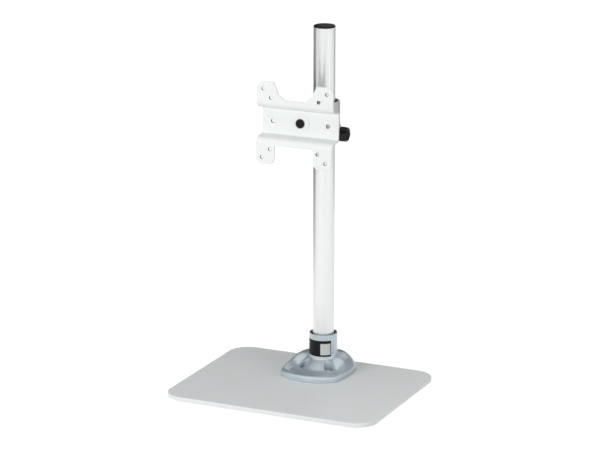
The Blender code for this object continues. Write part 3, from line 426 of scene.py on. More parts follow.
def new_tree(name, **inputs):
    """An empty Geometry Nodes tree with a geometry output and named inputs."""
    tree = bpy.data.node_groups.new(name, "GeometryNodeTree")
    for direction in ("INPUT", "OUTPUT"):
        tree.interface.new_socket("Geometry", in_out=direction, socket_type="NodeSocketGeometry")
    for label, kind in inputs.items():
        tree.interface.new_socket(label, in_out="INPUT", socket_type=f"NodeSocket{kind}")
    return tree, tree.nodes.new("NodeGroupInput"), tree.nodes.new("NodeGroupOutput")


def finish_tree(tree, given, result, geometry):
    """Ends a tree with real geometry in its finish."""
    real = node(tree, "GeometryNodeRealizeInstances", {0: geometry}).outputs[0]
    finish = given.outputs["Finish"]
    dressed = node(tree, "GeometryNodeSetMaterial", {"Geometry": real, "Material": finish})
    wire(tree, result, {"Geometry": dressed.outputs["Geometry"]})
    return tree


def four_square_tree():
    """Sets a piece out at the four corners of a rectangle."""
    kinds = {"Width": "Float", "Depth": "Float", "Piece": "Object", "Finish": "Material"}
    tree, given, result = new_tree("four_square", **kinds)
    sizes = {"Size X": given.outputs["Width"], "Size Y": given.outputs["Depth"]}
    grid = node(tree, "GeometryNodeMeshGrid", {**sizes, "Vertices X": 2, "Vertices Y": 2}).outputs["Mesh"]
    piece = node(tree, "GeometryNodeObjectInfo", {"Object": given.outputs["Piece"]}).outputs["Geometry"]
    spread = node(tree, "GeometryNodeInstanceOnPoints", {"Points": grid, "Instance": piece})
    return finish_tree(tree, given, result, spread.outputs["Instances"])


def with_tree(piece, tree, **values):
    """Runs a tree on a piece, its inputs set by their sockets' identifiers, and keeps what it makes."""
    step = piece.modifiers.new(tree.name, "NODES")
    step.node_group = tree
    for socket in tree.interface.items_tree:
        if socket.item_type == "SOCKET" and socket.in_out == "INPUT" and socket.name in values:
            step[socket.identifier] = values[socket.name]
    plain(piece)
    return piece


FOUR_SQUARE = four_square_tree()


def set_out(name, pattern, width, depth, finish, place):
    """Four copies of a pattern piece at the corners of a rectangle round a place."""
    made = formed(name, bmesh.new())
    with_tree(made, FOUR_SQUARE, Width=width, Depth=depth, Piece=pattern, Finish=finish)
    made.data.transform(Matrix.Translation(place))
    bpy.data.objects.remove(pattern)
    return made


rubber = coat("black_rubber", (0.018, 0.018, 0.019), 0.85, specular=0.3)
grained(rubber, 600, tone=0.15, dulling=0.08, relief=0.03 * MM)
pad = formed("pad", pin(pin_line(PAD_RADIUS, 0, PAD_TOP, 0.5 * MM, 0.2 * MM), 4, 64))
pad_spread = (PLATE_WIDTH - 2 * PAD_INSET, PLATE_DEPTH - 2 * PAD_INSET)
pads = set_out("desk_pads", pad, *pad_spread, rubber, (0, 0, 0))
PAD_NODES = [f"rubber_pad_{end}_{side}" for side in ("left", "right") for end in ("front", "back")]
dress(pads, rubber, "base", "rubber", *PAD_NODES)


# Cast foot. One casting with a bowed flange, a raised front lip, a hub with four screw pockets, and a
# tall collar for the pole. It is die cast in aluminium and painted a blue metallic grey.

GAP = 0.3 * MM
FOOT_BOTTOM = 8.3 * MM
FOOT_EDGE_ROUND = 0.4 * MM
FOOT_COLUMNS = 480
LIP_ROWS = 22
LEDGE_ROWS = 6
HUB_ROWS = 34
FOOT_FRONT_CORNER = (45 * MM, 57 * MM)
FOOT_SIDE_POINT = (50 * MM, 5 * MM)
FOOT_BACK = 47.5 * MM
FOOT_FRONT_BOW = 17.3 * MM
FOOT_SIDE_BOW = 2 * MM
FOOT_CORNER_BLUR = 2.5
EDGE_HEIGHT = 6.0 * MM
LIP_HEIGHT = 9.4 * MM
LIP_CREST = 3.9 * MM
LIP_WIDTH = 17 * MM
LEDGE_HEIGHT = 5 * MM
HUB_RADIUS = 37 * MM
HUB_HEIGHT = 20.5 * MM
HUB_CURVE = 1.15
HUB_BLEND = 1.6 * MM
DOME_HEIGHT = 23.5 * MM
DOME_CURVE = 3.2
FRONT_BEARING = 52
SIDE_BEARING = 80
COLLAR_RADIUS = 21 * MM
COLLAR_HEIGHT = 56.7 * MM
COLLAR_FILLET = 2.5 * MM
COLLAR_RIM = 0.8 * MM
SOCKET_RADIUS = 19.5 * MM
SOCKET_FLOOR = 5.7 * MM
POCKET_RADIUS = 6.8 * MM
POCKET_FLOOR = 3.2 * MM
POCKET_ROLL = 0.7 * MM
POCKET_SIDES = 72
POCKET_WAY_TOP = 50 * MM
BLUE_GREY = (0.54, 0.61, 0.655)


def bowed(start, end, bow, count):
    """Points from start to end on an arc that bulges to the right of the way."""
    start, end = Vector(start), Vector(end)
    chord = end - start
    radius = (chord.length_squared / 4 + bow * bow) / (2 * bow)
    right = Vector((chord.y, -chord.x)).normalized()
    centre = (start + end) / 2 - right * (radius - bow)
    half = math.asin(chord.length / (2 * radius))
    middle = math.atan2(right.y, right.x)
    steps = [middle - half + 2 * half * k / count for k in range(count)]
    return [(centre.x + radius * math.cos(step), centre.y + radius * math.sin(step)) for step in steps]


def flange_radii():
    """The flange's radius at each column, counter-clockwise from straight right, its corners rounded."""
    corner_x, corner_y = FOOT_FRONT_CORNER
    side_x, side_y = FOOT_SIDE_POINT
    line = bowed((-corner_x, -corner_y), (corner_x, -corner_y), FOOT_FRONT_BOW, 200)
    line += bowed((corner_x, -corner_y), (side_x, -side_y), FOOT_SIDE_BOW, 80)
    steps = [math.pi * k / 400 for k in range(400)]
    line += [(side_x * math.cos(step), (FOOT_BACK + side_y) * math.sin(step) - side_y) for step in steps]
    line += bowed((-side_x, -side_y), (-corner_x, -corner_y), FOOT_SIDE_BOW, 80)
    x, y = np.array(line).T
    bearings = np.arctan2(y, x)
    order = np.argsort(bearings)
    columns = np.arange(FOOT_COLUMNS) * 2 * math.pi / FOOT_COLUMNS
    radii = np.interp(columns, bearings[order], np.hypot(x, y)[order], period=2 * math.pi)
    reach = np.arange(-12, 13)
    weights = np.exp(-0.5 * (reach / FOOT_CORNER_BLUR) ** 2)
    around = np.concatenate([radii[-len(reach) :], radii, radii[: len(reach)]])
    return np.convolve(around, weights / weights.sum(), "same")[len(reach) : -len(reach)]


FLANGE_RADII = flange_radii()


def eased(amount):
    """An amount held between 0 and 1 and eased at both ends."""
    amount = min(1.0, max(0.0, amount))
    return amount * amount * (3 - 2 * amount)


def foot_level(x, y):
    """Height of the foot's skin over its underside at a place measured from the pole's axis."""
    radius = max(math.hypot(x, y), COLLAR_RADIUS)
    turn = math.atan2(y, x) / (2 * math.pi) * FOOT_COLUMNS
    near = math.floor(turn)
    share = turn - near
    edge = FLANGE_RADII[near % FOOT_COLUMNS] * (1 - share) + FLANGE_RADII[(near + 1) % FOOT_COLUMNS] * share
    depth = max(0.0, edge - radius)
    bearing = abs(math.degrees(math.atan2(x, -y)))
    if depth < LIP_CREST:
        front = EDGE_HEIGHT + (LIP_HEIGHT - EDGE_HEIGHT) * math.sin(math.pi / 2 * depth / LIP_CREST)
    else:
        fall = eased((depth - LIP_CREST) / (LIP_WIDTH - LIP_CREST))
        front = LIP_HEIGHT - (LIP_HEIGHT - LEDGE_HEIGHT) * fall
    climb = max(0.0, (HUB_RADIUS + HUB_BLEND - radius) / (HUB_RADIUS + HUB_BLEND - COLLAR_RADIUS))
    hub = LEDGE_HEIGHT - HUB_BLEND / 2 + (HUB_HEIGHT - LEDGE_HEIGHT) * (1 - (1 - climb) ** HUB_CURVE)
    front = (front + hub + math.hypot(front - hub, HUB_BLEND)) / 2
    climb = min(1.0, depth / (edge - COLLAR_RADIUS))
    side = EDGE_HEIGHT + (DOME_HEIGHT - EDGE_HEIGHT) * (1 - (1 - climb) ** DOME_CURVE)
    level = front + (side - front) * eased((bearing - FRONT_BEARING) / (SIDE_BEARING - FRONT_BEARING))
    lack = COLLAR_RADIUS + COLLAR_FILLET - radius
    if lack > 0:
        level += COLLAR_FILLET - math.sqrt(COLLAR_FILLET**2 - lack**2)
    return level


def foot_rows():
    """Loops of the foot from its underside out, over the flange and the collar, and down the socket."""
    rows = []
    for k, edge in enumerate(FLANGE_RADII):
        step = 2 * math.pi * k / FOOT_COLUMNS
        across, along = math.cos(step), math.sin(step)
        lip = min(LIP_WIDTH, (edge - HUB_RADIUS) * 0.9)
        radii = [edge - lip * (0.06 + 0.94 * k / LIP_ROWS) for k in range(LIP_ROWS + 1)]
        ledge = edge - lip - HUB_RADIUS - HUB_BLEND
        radii += [edge - lip - ledge * k / LEDGE_ROWS for k in range(1, LEDGE_ROWS)]
        hub = HUB_RADIUS + HUB_BLEND - COLLAR_RADIUS
        radii += [COLLAR_RADIUS + hub * (1 - k / HUB_ROWS) for k in range(HUB_ROWS + 1)]
        column = [(edge - FOOT_EDGE_ROUND, 0), (edge, FOOT_EDGE_ROUND), (edge, 0.8 * EDGE_HEIGHT)]
        column += [(edge - 0.1 * MM, 0.93 * EDGE_HEIGHT), (edge - FOOT_EDGE_ROUND, 1.04 * EDGE_HEIGHT)]
        column += [(radius, foot_level(across * radius, along * radius)) for radius in radii]
        collar = [
            (COLLAR_RADIUS, column[-1][1] + 1 * MM, 0),
            (COLLAR_RADIUS, COLLAR_HEIGHT, COLLAR_RIM),
            (SOCKET_RADIUS, COLLAR_HEIGHT, 0.4 * MM),
            (SOCKET_RADIUS, SOCKET_FLOOR, 0),
        ]
        column += softened(collar, 4, False) + [(BOLT_WAY, SOCKET_FLOOR), (BOLT_WAY, 0)]
        rows.append([(across * radius, along * radius, height) for radius, height in column])
    return [list(row) for row in zip(*rows)]


def pocket_way(across, along):
    """A screw pocket whose rim rolls over into the foot's skin all round."""
    loops = [[(across, along, -1 * MM)]]

    def ring(radius, level):
        """Adds a round loop, at one level or at a level worked out for each point."""
        places = [(across + x, along + y) for x, y, _ in circle(radius, 0, POCKET_SIDES)]
        loops.append([(x, y, level(x, y) if callable(level) else level) for x, y in places])

    ring(SCREW_WAY, -1 * MM)
    ring(SCREW_WAY, POCKET_FLOOR)
    ring(POCKET_RADIUS - 0.6 * MM, POCKET_FLOOR)
    ring(POCKET_RADIUS - 0.15 * MM, POCKET_FLOOR + 0.2 * MM)
    ring(POCKET_RADIUS, POCKET_FLOOR + 0.6 * MM)
    for k in range(6):
        roll = math.radians(13 * k)
        drop = POCKET_ROLL * (1 - math.sin(roll))
        ring(POCKET_RADIUS + POCKET_ROLL * (1 - math.cos(roll)), lambda x, y: foot_level(x, y) - drop)
    ring(POCKET_RADIUS + 0.95 * POCKET_ROLL, lambda x, y: foot_level(x, y) + 3 * MM)
    loops.append([(across, along, POCKET_WAY_TOP)])
    way = skin(loops)
    way.transform(Matrix.Translation((0, POLE_Y, FOOT_BOTTOM)))
    return way


SET_SCREW_RADIUS = 3 * MM
SET_SCREW_LEVEL = 53 * MM
AT_SET_SCREW = Matrix.Translation((0, POLE_Y, SET_SCREW_LEVEL)) @ Matrix.Rotation(-math.pi / 2, 4, "X")


def set_screw_way():
    """The way for the set screw, from the pole out through the collar's back."""
    return placed(round_way(SET_SCREW_RADIUS + GAP, 16 * MM, 24 * MM, 48), AT_SET_SCREW)


foot_paint = coat("blue_metallic_grey", BLUE_GREY, 0.32, 0.50)
grained(foot_paint, 1500, tone=0.04, dulling=0.05, relief=0.008 * MM)
grained(foot_paint, 120, tone=0.02, relief=0.02 * MM)
foot = formed("cast_foot", skin(foot_rows(), True), Matrix.Translation((0, POLE_Y, FOOT_BOTTOM)))
bored(foot, set_screw_way(), *[pocket_way(*place) for place in SCREW_PLACES])
dress(foot, foot_paint, "base", "foot_paint", "foot_casting")


# Foot screws. Four zinc plated steel screws with rounded heads and hexagon sockets, one in each pocket,
# that hold the casting down on the plate.

SCREW_HEAD_RADIUS = 4.6 * MM
SCREW_HEAD_HEIGHT = 2.8 * MM
SCREW_RADIUS = 2.5 * MM
SCREW_LENGTH = 8 * MM
HEAD_EDGE_SHARE = 0.30
HEAD_CROWN_SHARE = 0.42
HEAD_FLAT_SHARE = 0.62
KEY_POINT_SHARE = 0.12


def hexagon(across_flats, level, sides=6):
    """A hexagon's loop, with its flats divided when sides is a larger multiple of six."""
    loop = []
    for k in range(sides):
        step = 2 * math.pi * k / sides
        off = (step + math.pi / 6) % (math.pi / 3) - math.pi / 6
        radius = across_flats / 2 / math.cos(off)
        loop.append((radius * math.cos(step), radius * math.sin(step), level))
    return loop


def button_head(radius, head_radius, head_height, length, key, key_depth):
    """A button head over its shank, with its underside at level 0 and a hexagon socket in its top."""
    rise = head_height * HEAD_EDGE_SHARE
    neck = 0.3 * MM
    profile = softened([(0, -length, 0), (radius, -length, 0.4 * MM), (radius, -neck, 0)], 3, False)
    rim = [(head_radius - 0.5 * MM, 0, 0), (head_radius, 0, 0.25 * MM), (head_radius, rise, 0)]
    profile += [(radius + neck, 0)] + softened(rim, 3, False)
    for k in range(1, 13):
        step = math.pi / 2 * k / 13
        across = head_radius * (1 - HEAD_CROWN_SHARE * (1 - math.cos(step)))
        profile.append((across, rise + (head_height - rise) * math.sin(step)))
    profile += [(key * HEAD_FLAT_SHARE, head_height), (0, head_height)]
    floor = head_height - key_depth
    socket = [
        [(0, 0, floor - KEY_POINT_SHARE * key)],
        hexagon(key, floor),
        hexagon(key, head_height - 0.25 * MM),
        hexagon(key + 0.8 * MM, head_height + 0.15 * MM),
    ]
    return bored(formed("screw", revolve(profile, 64)), skin(socket))


zinc = coat("zinc_plate", (0.60, 0.61, 0.61), 0.42, 0.8)
grained(zinc, 700, tone=0.04, dulling=0.1, relief=0.008 * MM)
screw_head = (SCREW_HEAD_RADIUS, SCREW_HEAD_HEIGHT)
foot_screw = button_head(SCREW_RADIUS, *screw_head, SCREW_LENGTH, key=3 * MM, key_depth=1.6 * MM)
at_screws = (0, POLE_Y, FOOT_BOTTOM + POCKET_FLOOR + GAP)
screws = set_out("plate_screws", foot_screw, 2 * SCREW_SIDEWAYS, 2 * SCREW_FORWARD, zinc, at_screws)
dress(screws, zinc, "base", "zinc_steel", *[f"foot_screw_{k}" for k in range(1, 5)])


# Collar wrap. A thin black film round the collar's front and left, stuck on after painting, with a plain
# pale panel on its right.

WRAP_INNER = COLLAR_RADIUS + 0.02 * MM
WRAP_THICKNESS = 0.12 * MM
WRAP_BEARINGS = (-100, 57)
WRAP_LEVELS = (32 * MM, 56.5 * MM)
WRAP_CORNER = 1 * MM
PALE_INNER = COLLAR_RADIUS + 0.15 * MM
PALE_THICKNESS = 0.08 * MM
PALE_BEARINGS = (12, 54)
PALE_LEVELS = (34.5 * MM, 52 * MM)
PALE_CORNER = 0.6 * MM


def sliced(shape, place, facing):
    """Cuts a shape's faces where a plane goes through them."""
    parts = shape.verts[:] + shape.edges[:] + shape.faces[:]
    bmesh.ops.bisect_plane(shape, geom=parts, plane_co=place, plane_no=facing)


def film(inner, thickness, bearings, levels, corner):
    """A film with rounded corners on a round post, between two bearings in degrees from straight ahead."""
    start, end = bearings
    low, high = levels
    half = math.radians(end - start) / 2 * inner
    middle = math.radians(start + end) / 2
    flat = bmesh.new()
    rim = rectangle(half, (high - low) / 2, corner, 5)
    flat.faces.new([flat.verts.new((across, up, 0)) for across, up in rim])
    count = 96
    for k in range(1, count):
        sliced(flat, (-half + 2 * half * k / count, 0, 0), (1, 0, 0))
    outer = bmesh.ops.extrude_face_region(flat, geom=flat.faces[:])
    for part in outer["geom"]:
        if isinstance(part, bmesh.types.BMVert):
            part.co.z = thickness
    for vertex in flat.verts:
        turn = middle + vertex.co.x / inner
        radius = inner + vertex.co.z
        vertex.co = (radius * math.sin(turn), -radius * math.cos(turn), (low + high) / 2 + vertex.co.y)
    bmesh.ops.recalc_face_normals(flat, faces=flat.faces)
    return flat


black_film = coat("black_film", (0.008, 0.008, 0.009), 0.35, specular=0.2)
grained(black_film, 300, dulling=0.05, relief=0.004 * MM)
pale_film = coat("pale_film", (0.53, 0.54, 0.535), 0.38)
grained(pale_film, 500, tone=0.02, dulling=0.04)
black_sheet = film(WRAP_INNER, WRAP_THICKNESS, WRAP_BEARINGS, WRAP_LEVELS, WRAP_CORNER)
wrap = formed("collar_wrap", black_sheet, AT_POLE)
dress(wrap, black_film, "base", "black_plastic")
pale_sheet = film(PALE_INNER, PALE_THICKNESS, PALE_BEARINGS, PALE_LEVELS, PALE_CORNER)
panel = formed("collar_panel", pale_sheet, AT_POLE)
dress(panel, pale_film, "base", "white_paint")


# Collar bush and set screw. A black plastic ring centres the pole in the collar's mouth, and a black
# steel screw with a hexagon socket bites on the pole from behind so that it can't turn.

BUSH_TOP = 61 * MM
BUSH_LENGTH = 26 * MM
POLE_RADIUS = 16 * MM
SET_SCREW_TIP = 16.3 * MM
SET_SCREW_END = 20.7 * MM
SET_SCREW_KEY = 3 * MM
SET_SCREW_KEY_FLOOR = 18.5 * MM


def turned_ring(name, inner, outer, low, high, rounding, sides, place):
    """A piece with a round bore and rounded edges, turned about Z."""
    corners = [(inner, low), (outer, low), (outer, high), (inner, high)]
    profile = softened([(across, up, rounding) for across, up in corners], 3)
    return formed(name, revolve(profile, sides, True), place)


black_plastic = coat("black_moulding", (0.005, 0.005, 0.0055), 0.14, specular=0.25)
grained(black_plastic, 800, dulling=0.05, relief=0.006 * MM)
black_steel = coat("black_oxide", (0.008, 0.008, 0.0085), 0.2, specular=0.25)
grained(black_steel, 600, tone=0.1, dulling=0.08, relief=0.006 * MM)
bush_bore, bush_outside = POLE_RADIUS + GAP, SOCKET_RADIUS - GAP
bush_bottom = BUSH_TOP - BUSH_LENGTH
bush = turned_ring("collar_bush", bush_bore, bush_outside, bush_bottom, BUSH_TOP, 0.3 * MM, 96, AT_POLE)
bored(bush, set_screw_way())
dress(bush, black_plastic, "base", "black_plastic", "collar_liner")
grub_line = pin_line(SET_SCREW_RADIUS, SET_SCREW_TIP, SET_SCREW_END, 0.6 * MM, 0.3 * MM)
grub = formed("grub_screw", pin(grub_line, 3, 48))
bored(grub, skin([hexagon(SET_SCREW_KEY, SET_SCREW_KEY_FLOOR), hexagon(SET_SCREW_KEY, 22 * MM)]))
grub.data.transform(AT_SET_SCREW)
dress(grub, black_steel, "base", "black_steel", "collar_set_screw")


# Pole. A straight drawn steel tube, painted in a pale silver grey. It stands in the foot's socket, is
# plugged below and capped above.

POLE_BOTTOM = 14.3 * MM
POLE_TOP = 528 * MM
POLE_BORE = 14 * MM

pole_paint = coat("pale_silver", (0.83, 0.84, 0.84), 0.30, 0.62)
grained(pole_paint, 1200, tone=0.01, dulling=0.02, relief=0.003 * MM)
grained(pole_paint, 30, tone=0.01, stretch=(1, 1, 0.15))
pole = turned_ring("pole", POLE_BORE, POLE_RADIUS, POLE_BOTTOM, POLE_TOP, 0.3 * MM, 160, AT_POLE)
dress(pole, pole_paint, "base", "pole_paint", "pole_tube")


# Pole bolt and plug. A countersunk steel bolt goes up through the plate and the foot into a threaded plug
# in the pole's lower end, and pulls the pole down into the socket.

PLUG_TOP = POLE_BOTTOM + 26 * MM
PLUG_RADIUS = POLE_BORE - GAP
BOLT_RADIUS = 5 * MM
BOLT_HEAD_RADIUS = 9 * MM
BOLT_TIP = POLE_BOTTOM + 20 * MM
BOLT_KEY = 6 * MM

plug = turned_ring("pole_plug_turned", BOLT_WAY, PLUG_RADIUS, POLE_BOTTOM, PLUG_TOP, 0.8 * MM, 96, AT_POLE)
dress(plug, zinc, "base", "zinc_steel", "pole_plug")
bolt_line = [
    (0, BOLT_FACE, 0),
    (BOLT_HEAD_RADIUS, BOLT_FACE, 0.3 * MM),
    (BOLT_RADIUS, BOLT_FACE + BOLT_HEAD_RADIUS - BOLT_RADIUS, 0.3 * MM),
    (BOLT_RADIUS, BOLT_TIP, 0.8 * MM),
    (0, BOLT_TIP, 0),
]
bolt = formed("plate_bolt", pin(bolt_line, 3, 64))
key_way = [hexagon(BOLT_KEY, 0), hexagon(BOLT_KEY, BOLT_FACE + 2.8 * MM), [(0, 0, BOLT_FACE + 3.6 * MM)]]
bored(bolt, skin(key_way))
bolt.data.transform(AT_POLE)
dress(bolt, zinc, "base", "zinc_steel", "pole_bolt")


# End cap. A black moulded plug pushed into the pole's open top. Its hollow spigot grips the bore and its
# thin flange lies on the tube's end.

CAP_BASE = POLE_TOP + GAP
CAP_TOP = CAP_BASE + 2 * MM
CAP_SPIGOT = 13.7 * MM
CAP_HOLLOW = 11.2 * MM
CAP_SPIGOT_END = CAP_BASE - 12 * MM
cap_line = [
    (0, CAP_BASE, 0),
    (CAP_HOLLOW, CAP_BASE, 0),
    (CAP_HOLLOW, CAP_SPIGOT_END, 0.3 * MM),
    (CAP_SPIGOT, CAP_SPIGOT_END, 0.8 * MM),
    (CAP_SPIGOT, CAP_BASE, 0),
    (POLE_RADIUS, CAP_BASE, 0.2 * MM),
    (POLE_RADIUS, CAP_TOP, 1.1 * MM),
    (0, CAP_TOP, 0),
]
cap = formed("end_cap", pin(cap_line, 5, 128), AT_POLE)
dress(cap, black_plastic, "base", "black_plastic", "pole_cap")


# Sleeve bushes. Two black plastic rings pressed into the sliding sleeve, which run on the pole and keep
# the castings from scratching it.

SLEEVE_BOTTOM = 358 * MM
SLEEVE_TOP = 418.9 * MM
SLEEVE_RADIUS = 23.1 * MM
SLEEVE_BORE = 19.8 * MM
BUSH_BORE = 16.3 * MM
SLEEVE_BUSHES = (
    ("sleeve_bush_top", "upper_bush", 391.7 * MM, 416.9 * MM),
    ("sleeve_bush_bottom", "lower_bush", 358.3 * MM, 365.0 * MM),
)

for name, solid, low, high in SLEEVE_BUSHES:
    ring = turned_ring(name, BUSH_BORE, SLEEVE_BORE - GAP, low, high, 0.35 * MM, 96, AT_POLE)
    dress(ring, black_plastic, "slider", "black_plastic", solid)


# Clamp sleeve. A casting that slides and turns on the pole, with a boss for the clamp knob, a rib over the
# boss, and an arm for the tilt hinge. It is cast in aluminium, machined in its bores and painted grey.

BOSS_LEVEL = 13 * MM
BOSS_RADIUS = 9.5 * MM
BOSS_START = 14 * MM
BOSS_REACH = 26.5 * MM
HINGE_FORWARD = 47.7 * MM
HINGE_RISE = 41.8 * MM
TONGUE_RADIUS = 12 * MM
TONGUE_WIDTH = 18 * MM
ARM_HEIGHT = 28 * MM
ARM_ROOT_WIDTH = 30 * MM
ARM_ROOT_FORWARD = 32 * MM
ARM_ROOT_HALF_HEIGHT = 12 * MM
RIB_HALF_WIDTH = 2.5 * MM
CASTING_ROUND = 0.8 * MM
CASTING_GRID = 0.55 * MM
M8_WAY = 4.3 * MM
SLEEVE_LENGTH = SLEEVE_TOP - SLEEVE_BOTTOM
# Turns that lay a shape made along Z out to the right and out to the front.
TO_THE_RIGHT = Matrix.Rotation(math.pi / 2, 4, "Y")
TO_THE_FRONT = Matrix.Rotation(math.pi / 2, 4, "X")
AT_SLEEVE = Matrix.Translation((0, POLE_Y, SLEEVE_BOTTOM))
OUT_OF_BARREL = Matrix.Translation((0, 0, BOSS_LEVEL)) @ TO_THE_RIGHT
OUT_OF_BOSS = AT_SLEEVE @ OUT_OF_BARREL
ALONG_HINGE = Matrix.Translation((0, -HINGE_FORWARD, HINGE_RISE)) @ TO_THE_RIGHT


def raised(outline, low, high):
    """A flat outline raised from one level to another."""
    return skin([[(across, up, level) for across, up in outline] for level in (low, high)])


def spread_sideways(outline, half_width, middle=0.0):
    """An outline in the YZ plane spread from side to side."""
    sides = (middle - half_width, middle + half_width)
    return skin([[(side, along, up) for along, up in outline] for side in sides])


def cast(name, *parts):
    """Melts overlapping shapes into one casting with soft corners and hollows."""
    whole = bmesh.new()
    for part in parts:
        mesh = bpy.data.meshes.new("part")
        part.to_mesh(mesh)
        part.free()
        whole.from_mesh(mesh)
        bpy.data.meshes.remove(mesh)
    made = formed(name, whole)
    melt = made.modifiers.new("melt", "REMESH")
    melt.mode = "VOXEL"
    melt.voxel_size = CASTING_GRID
    soften = made.modifiers.new("soften", "SMOOTH")
    soften.factor = 0.5
    soften.iterations = 7
    plain(made)
    return made


sleeve_grey = coat("sleeve_grey", (0.52, 0.535, 0.54), 0.36, 0.35)
grained(sleeve_grey, 1100, tone=0.03, dulling=0.06, relief=0.02 * MM)
root = (SLEEVE_BORE + SLEEVE_RADIUS) / 2
arm_line = [(-root, HINGE_RISE - ARM_HEIGHT / 2), (-root, HINGE_RISE + ARM_HEIGHT / 2)]
for k in range(25):
    step = math.radians(80 + 200 * k / 24)
    along, up = TONGUE_RADIUS * math.cos(step), TONGUE_RADIUS * math.sin(step)
    arm_line.append((-HINGE_FORWARD + along, HINGE_RISE + up))
root_line = [
    (-ARM_ROOT_WIDTH / 2, -root * 0.6),
    (-ARM_ROOT_WIDTH / 2, -root),
    (-TONGUE_WIDTH / 2, -ARM_ROOT_FORWARD),
    (TONGUE_WIDTH / 2, -ARM_ROOT_FORWARD),
    (ARM_ROOT_WIDTH / 2, -root),
    (ARM_ROOT_WIDTH / 2, -root * 0.6),
]
rib_line = [(out * MM, up * MM) for out, up in ((16, 13), (26, 13), (26, 24), (22, 35), (16, 35))]
barrel_line = pin_line(SLEEVE_RADIUS, 0, SLEEVE_LENGTH, CASTING_ROUND, CASTING_ROUND)
boss_line = pin_line(BOSS_RADIUS, BOSS_START, BOSS_REACH, 0, CASTING_ROUND)
# The boss's stepped bore in millimetres, free for the nylon pad and then wider for the brass insert.
boss_way = [(0, 15), (5.3, 15), (5.3, 22.8), (6.8, 22.8), (6.8, 28), (0, 28)]
sleeve = cast(
    "clamp_casting",
    pin(barrel_line, 4, 128),
    spread_sideways(arm_line, TONGUE_WIDTH / 2),
    raised(root_line, HINGE_RISE - ARM_ROOT_HALF_HEIGHT, HINGE_RISE + ARM_ROOT_HALF_HEIGHT),
    placed(pin(boss_line, 4, 96), OUT_OF_BARREL),
    placed(raised(rib_line, -RIB_HALF_WIDTH, RIB_HALF_WIDTH), TO_THE_FRONT),
)
bored(
    sleeve,
    round_way(SLEEVE_BORE, -2 * MM, 62 * MM, 128),
    placed(revolve([(radius * MM, up * MM) for radius, up in boss_way], 64), OUT_OF_BARREL),
    placed(round_way(M8_WAY, -15 * MM, 15 * MM), ALONG_HINGE),
)
sleeve.data.transform(AT_SLEEVE)
dress(sleeve, sleeve_grey, "swivel", "sleeve_paint", "clamp_sleeve")


# Clamp. A brass insert pressed into the boss takes the knob's screw, which presses a turned nylon pad on
# the pole.

INSERT_START = 23.1 * MM
INSERT_RADIUS = 6.5 * MM
STUD_RADIUS = 4 * MM
STUD_BORE = STUD_RADIUS + GAP
STUD_PITCH = 1.25 * MM
TIP_RADIUS = 5 * MM
TIP_START = 16.3 * MM
TIP_END = 20.7 * MM

brass = coat("brass", (0.72, 0.53, 0.24), 0.33, 1.0)
grained(brass, 500, tone=0.05, dulling=0.08, relief=0.006 * MM)
nylon = coat("natural_nylon", (0.80, 0.79, 0.74), 0.5)
grained(nylon, 400, tone=0.02, dulling=0.05, relief=0.01 * MM)
insert_sizes = (STUD_BORE, INSERT_RADIUS, INSERT_START, BOSS_REACH)
insert = turned_ring("brass_insert", *insert_sizes, 0.3 * MM, 64, OUT_OF_BOSS)
dress(insert, brass, "swivel", "brass", "clamp_insert")
tip_line = pin_line(TIP_RADIUS, TIP_START, TIP_END, 0.4 * MM, 0.4 * MM)
tip = formed("nylon_tip", pin(tip_line, 3, 64), OUT_OF_BOSS)
dress(tip, nylon, "clamp_slide", "nylon", "pressure_pad")


# Clamp knob and its stud. A black moulded knob with six soft lobes, moulded round a zinc plated
# threaded stud.

STUD_START = 21 * MM
STUD_END = 35.1 * MM
KNOB_START = 27.1 * MM
KNOB_END = 37.7 * MM
KNOB_RADIUS = 12 * MM
KNOB_PHASE = 15
KNOB_LOBES = 6.0
LOBE_DEPTH = 2.0 * MM
LOBE_CORE = 7.6 * MM
KNOB_BORE = 4.3 * MM
KNOB_BORE_END = STUD_END + GAP
KNOB_STEP = 0.8 * MM


def push_tree(name, push, *sizes):
    """A tree that moves a round piece's skin towards its axis, Z, by what push makes of each point."""
    tree, given, result = new_tree(name, **dict.fromkeys(sizes, "Float"), Finish="Material")
    place = node(tree, "GeometryNodeInputPosition").outputs[0]
    x, y, z = node(tree, "ShaderNodeSeparateXYZ", {0: place}).outputs
    squares = maths(tree, "ADD", maths(tree, "MULTIPLY", x, x), maths(tree, "MULTIPLY", y, y))
    reach = maths(tree, "SQRT", squares)
    pushed = push(tree, given.outputs, reach, maths(tree, "ARCTAN2", y, x), z)
    share = maths(tree, "DIVIDE", pushed, maths(tree, "MAXIMUM", reach, 1e-6))
    back = maths(tree, "MULTIPLY", share, -1)
    moves = {0: maths(tree, "MULTIPLY", x, back), 1: maths(tree, "MULTIPLY", y, back)}
    offset = node(tree, "ShaderNodeCombineXYZ", moves).outputs[0]
    moved = node(tree, "GeometryNodeSetPosition", {"Geometry": given.outputs["Geometry"], "Offset": offset})
    return finish_tree(tree, given, result, moved.outputs["Geometry"])


def stepped(tree, value, low, high):
    """0 below low and 1 above high, eased between them."""
    bounds = {"Value": value, "From Min": low, "From Max": high}
    return node(tree, "ShaderNodeMapRange", bounds, interpolation_type="SMOOTHSTEP").outputs["Result"]


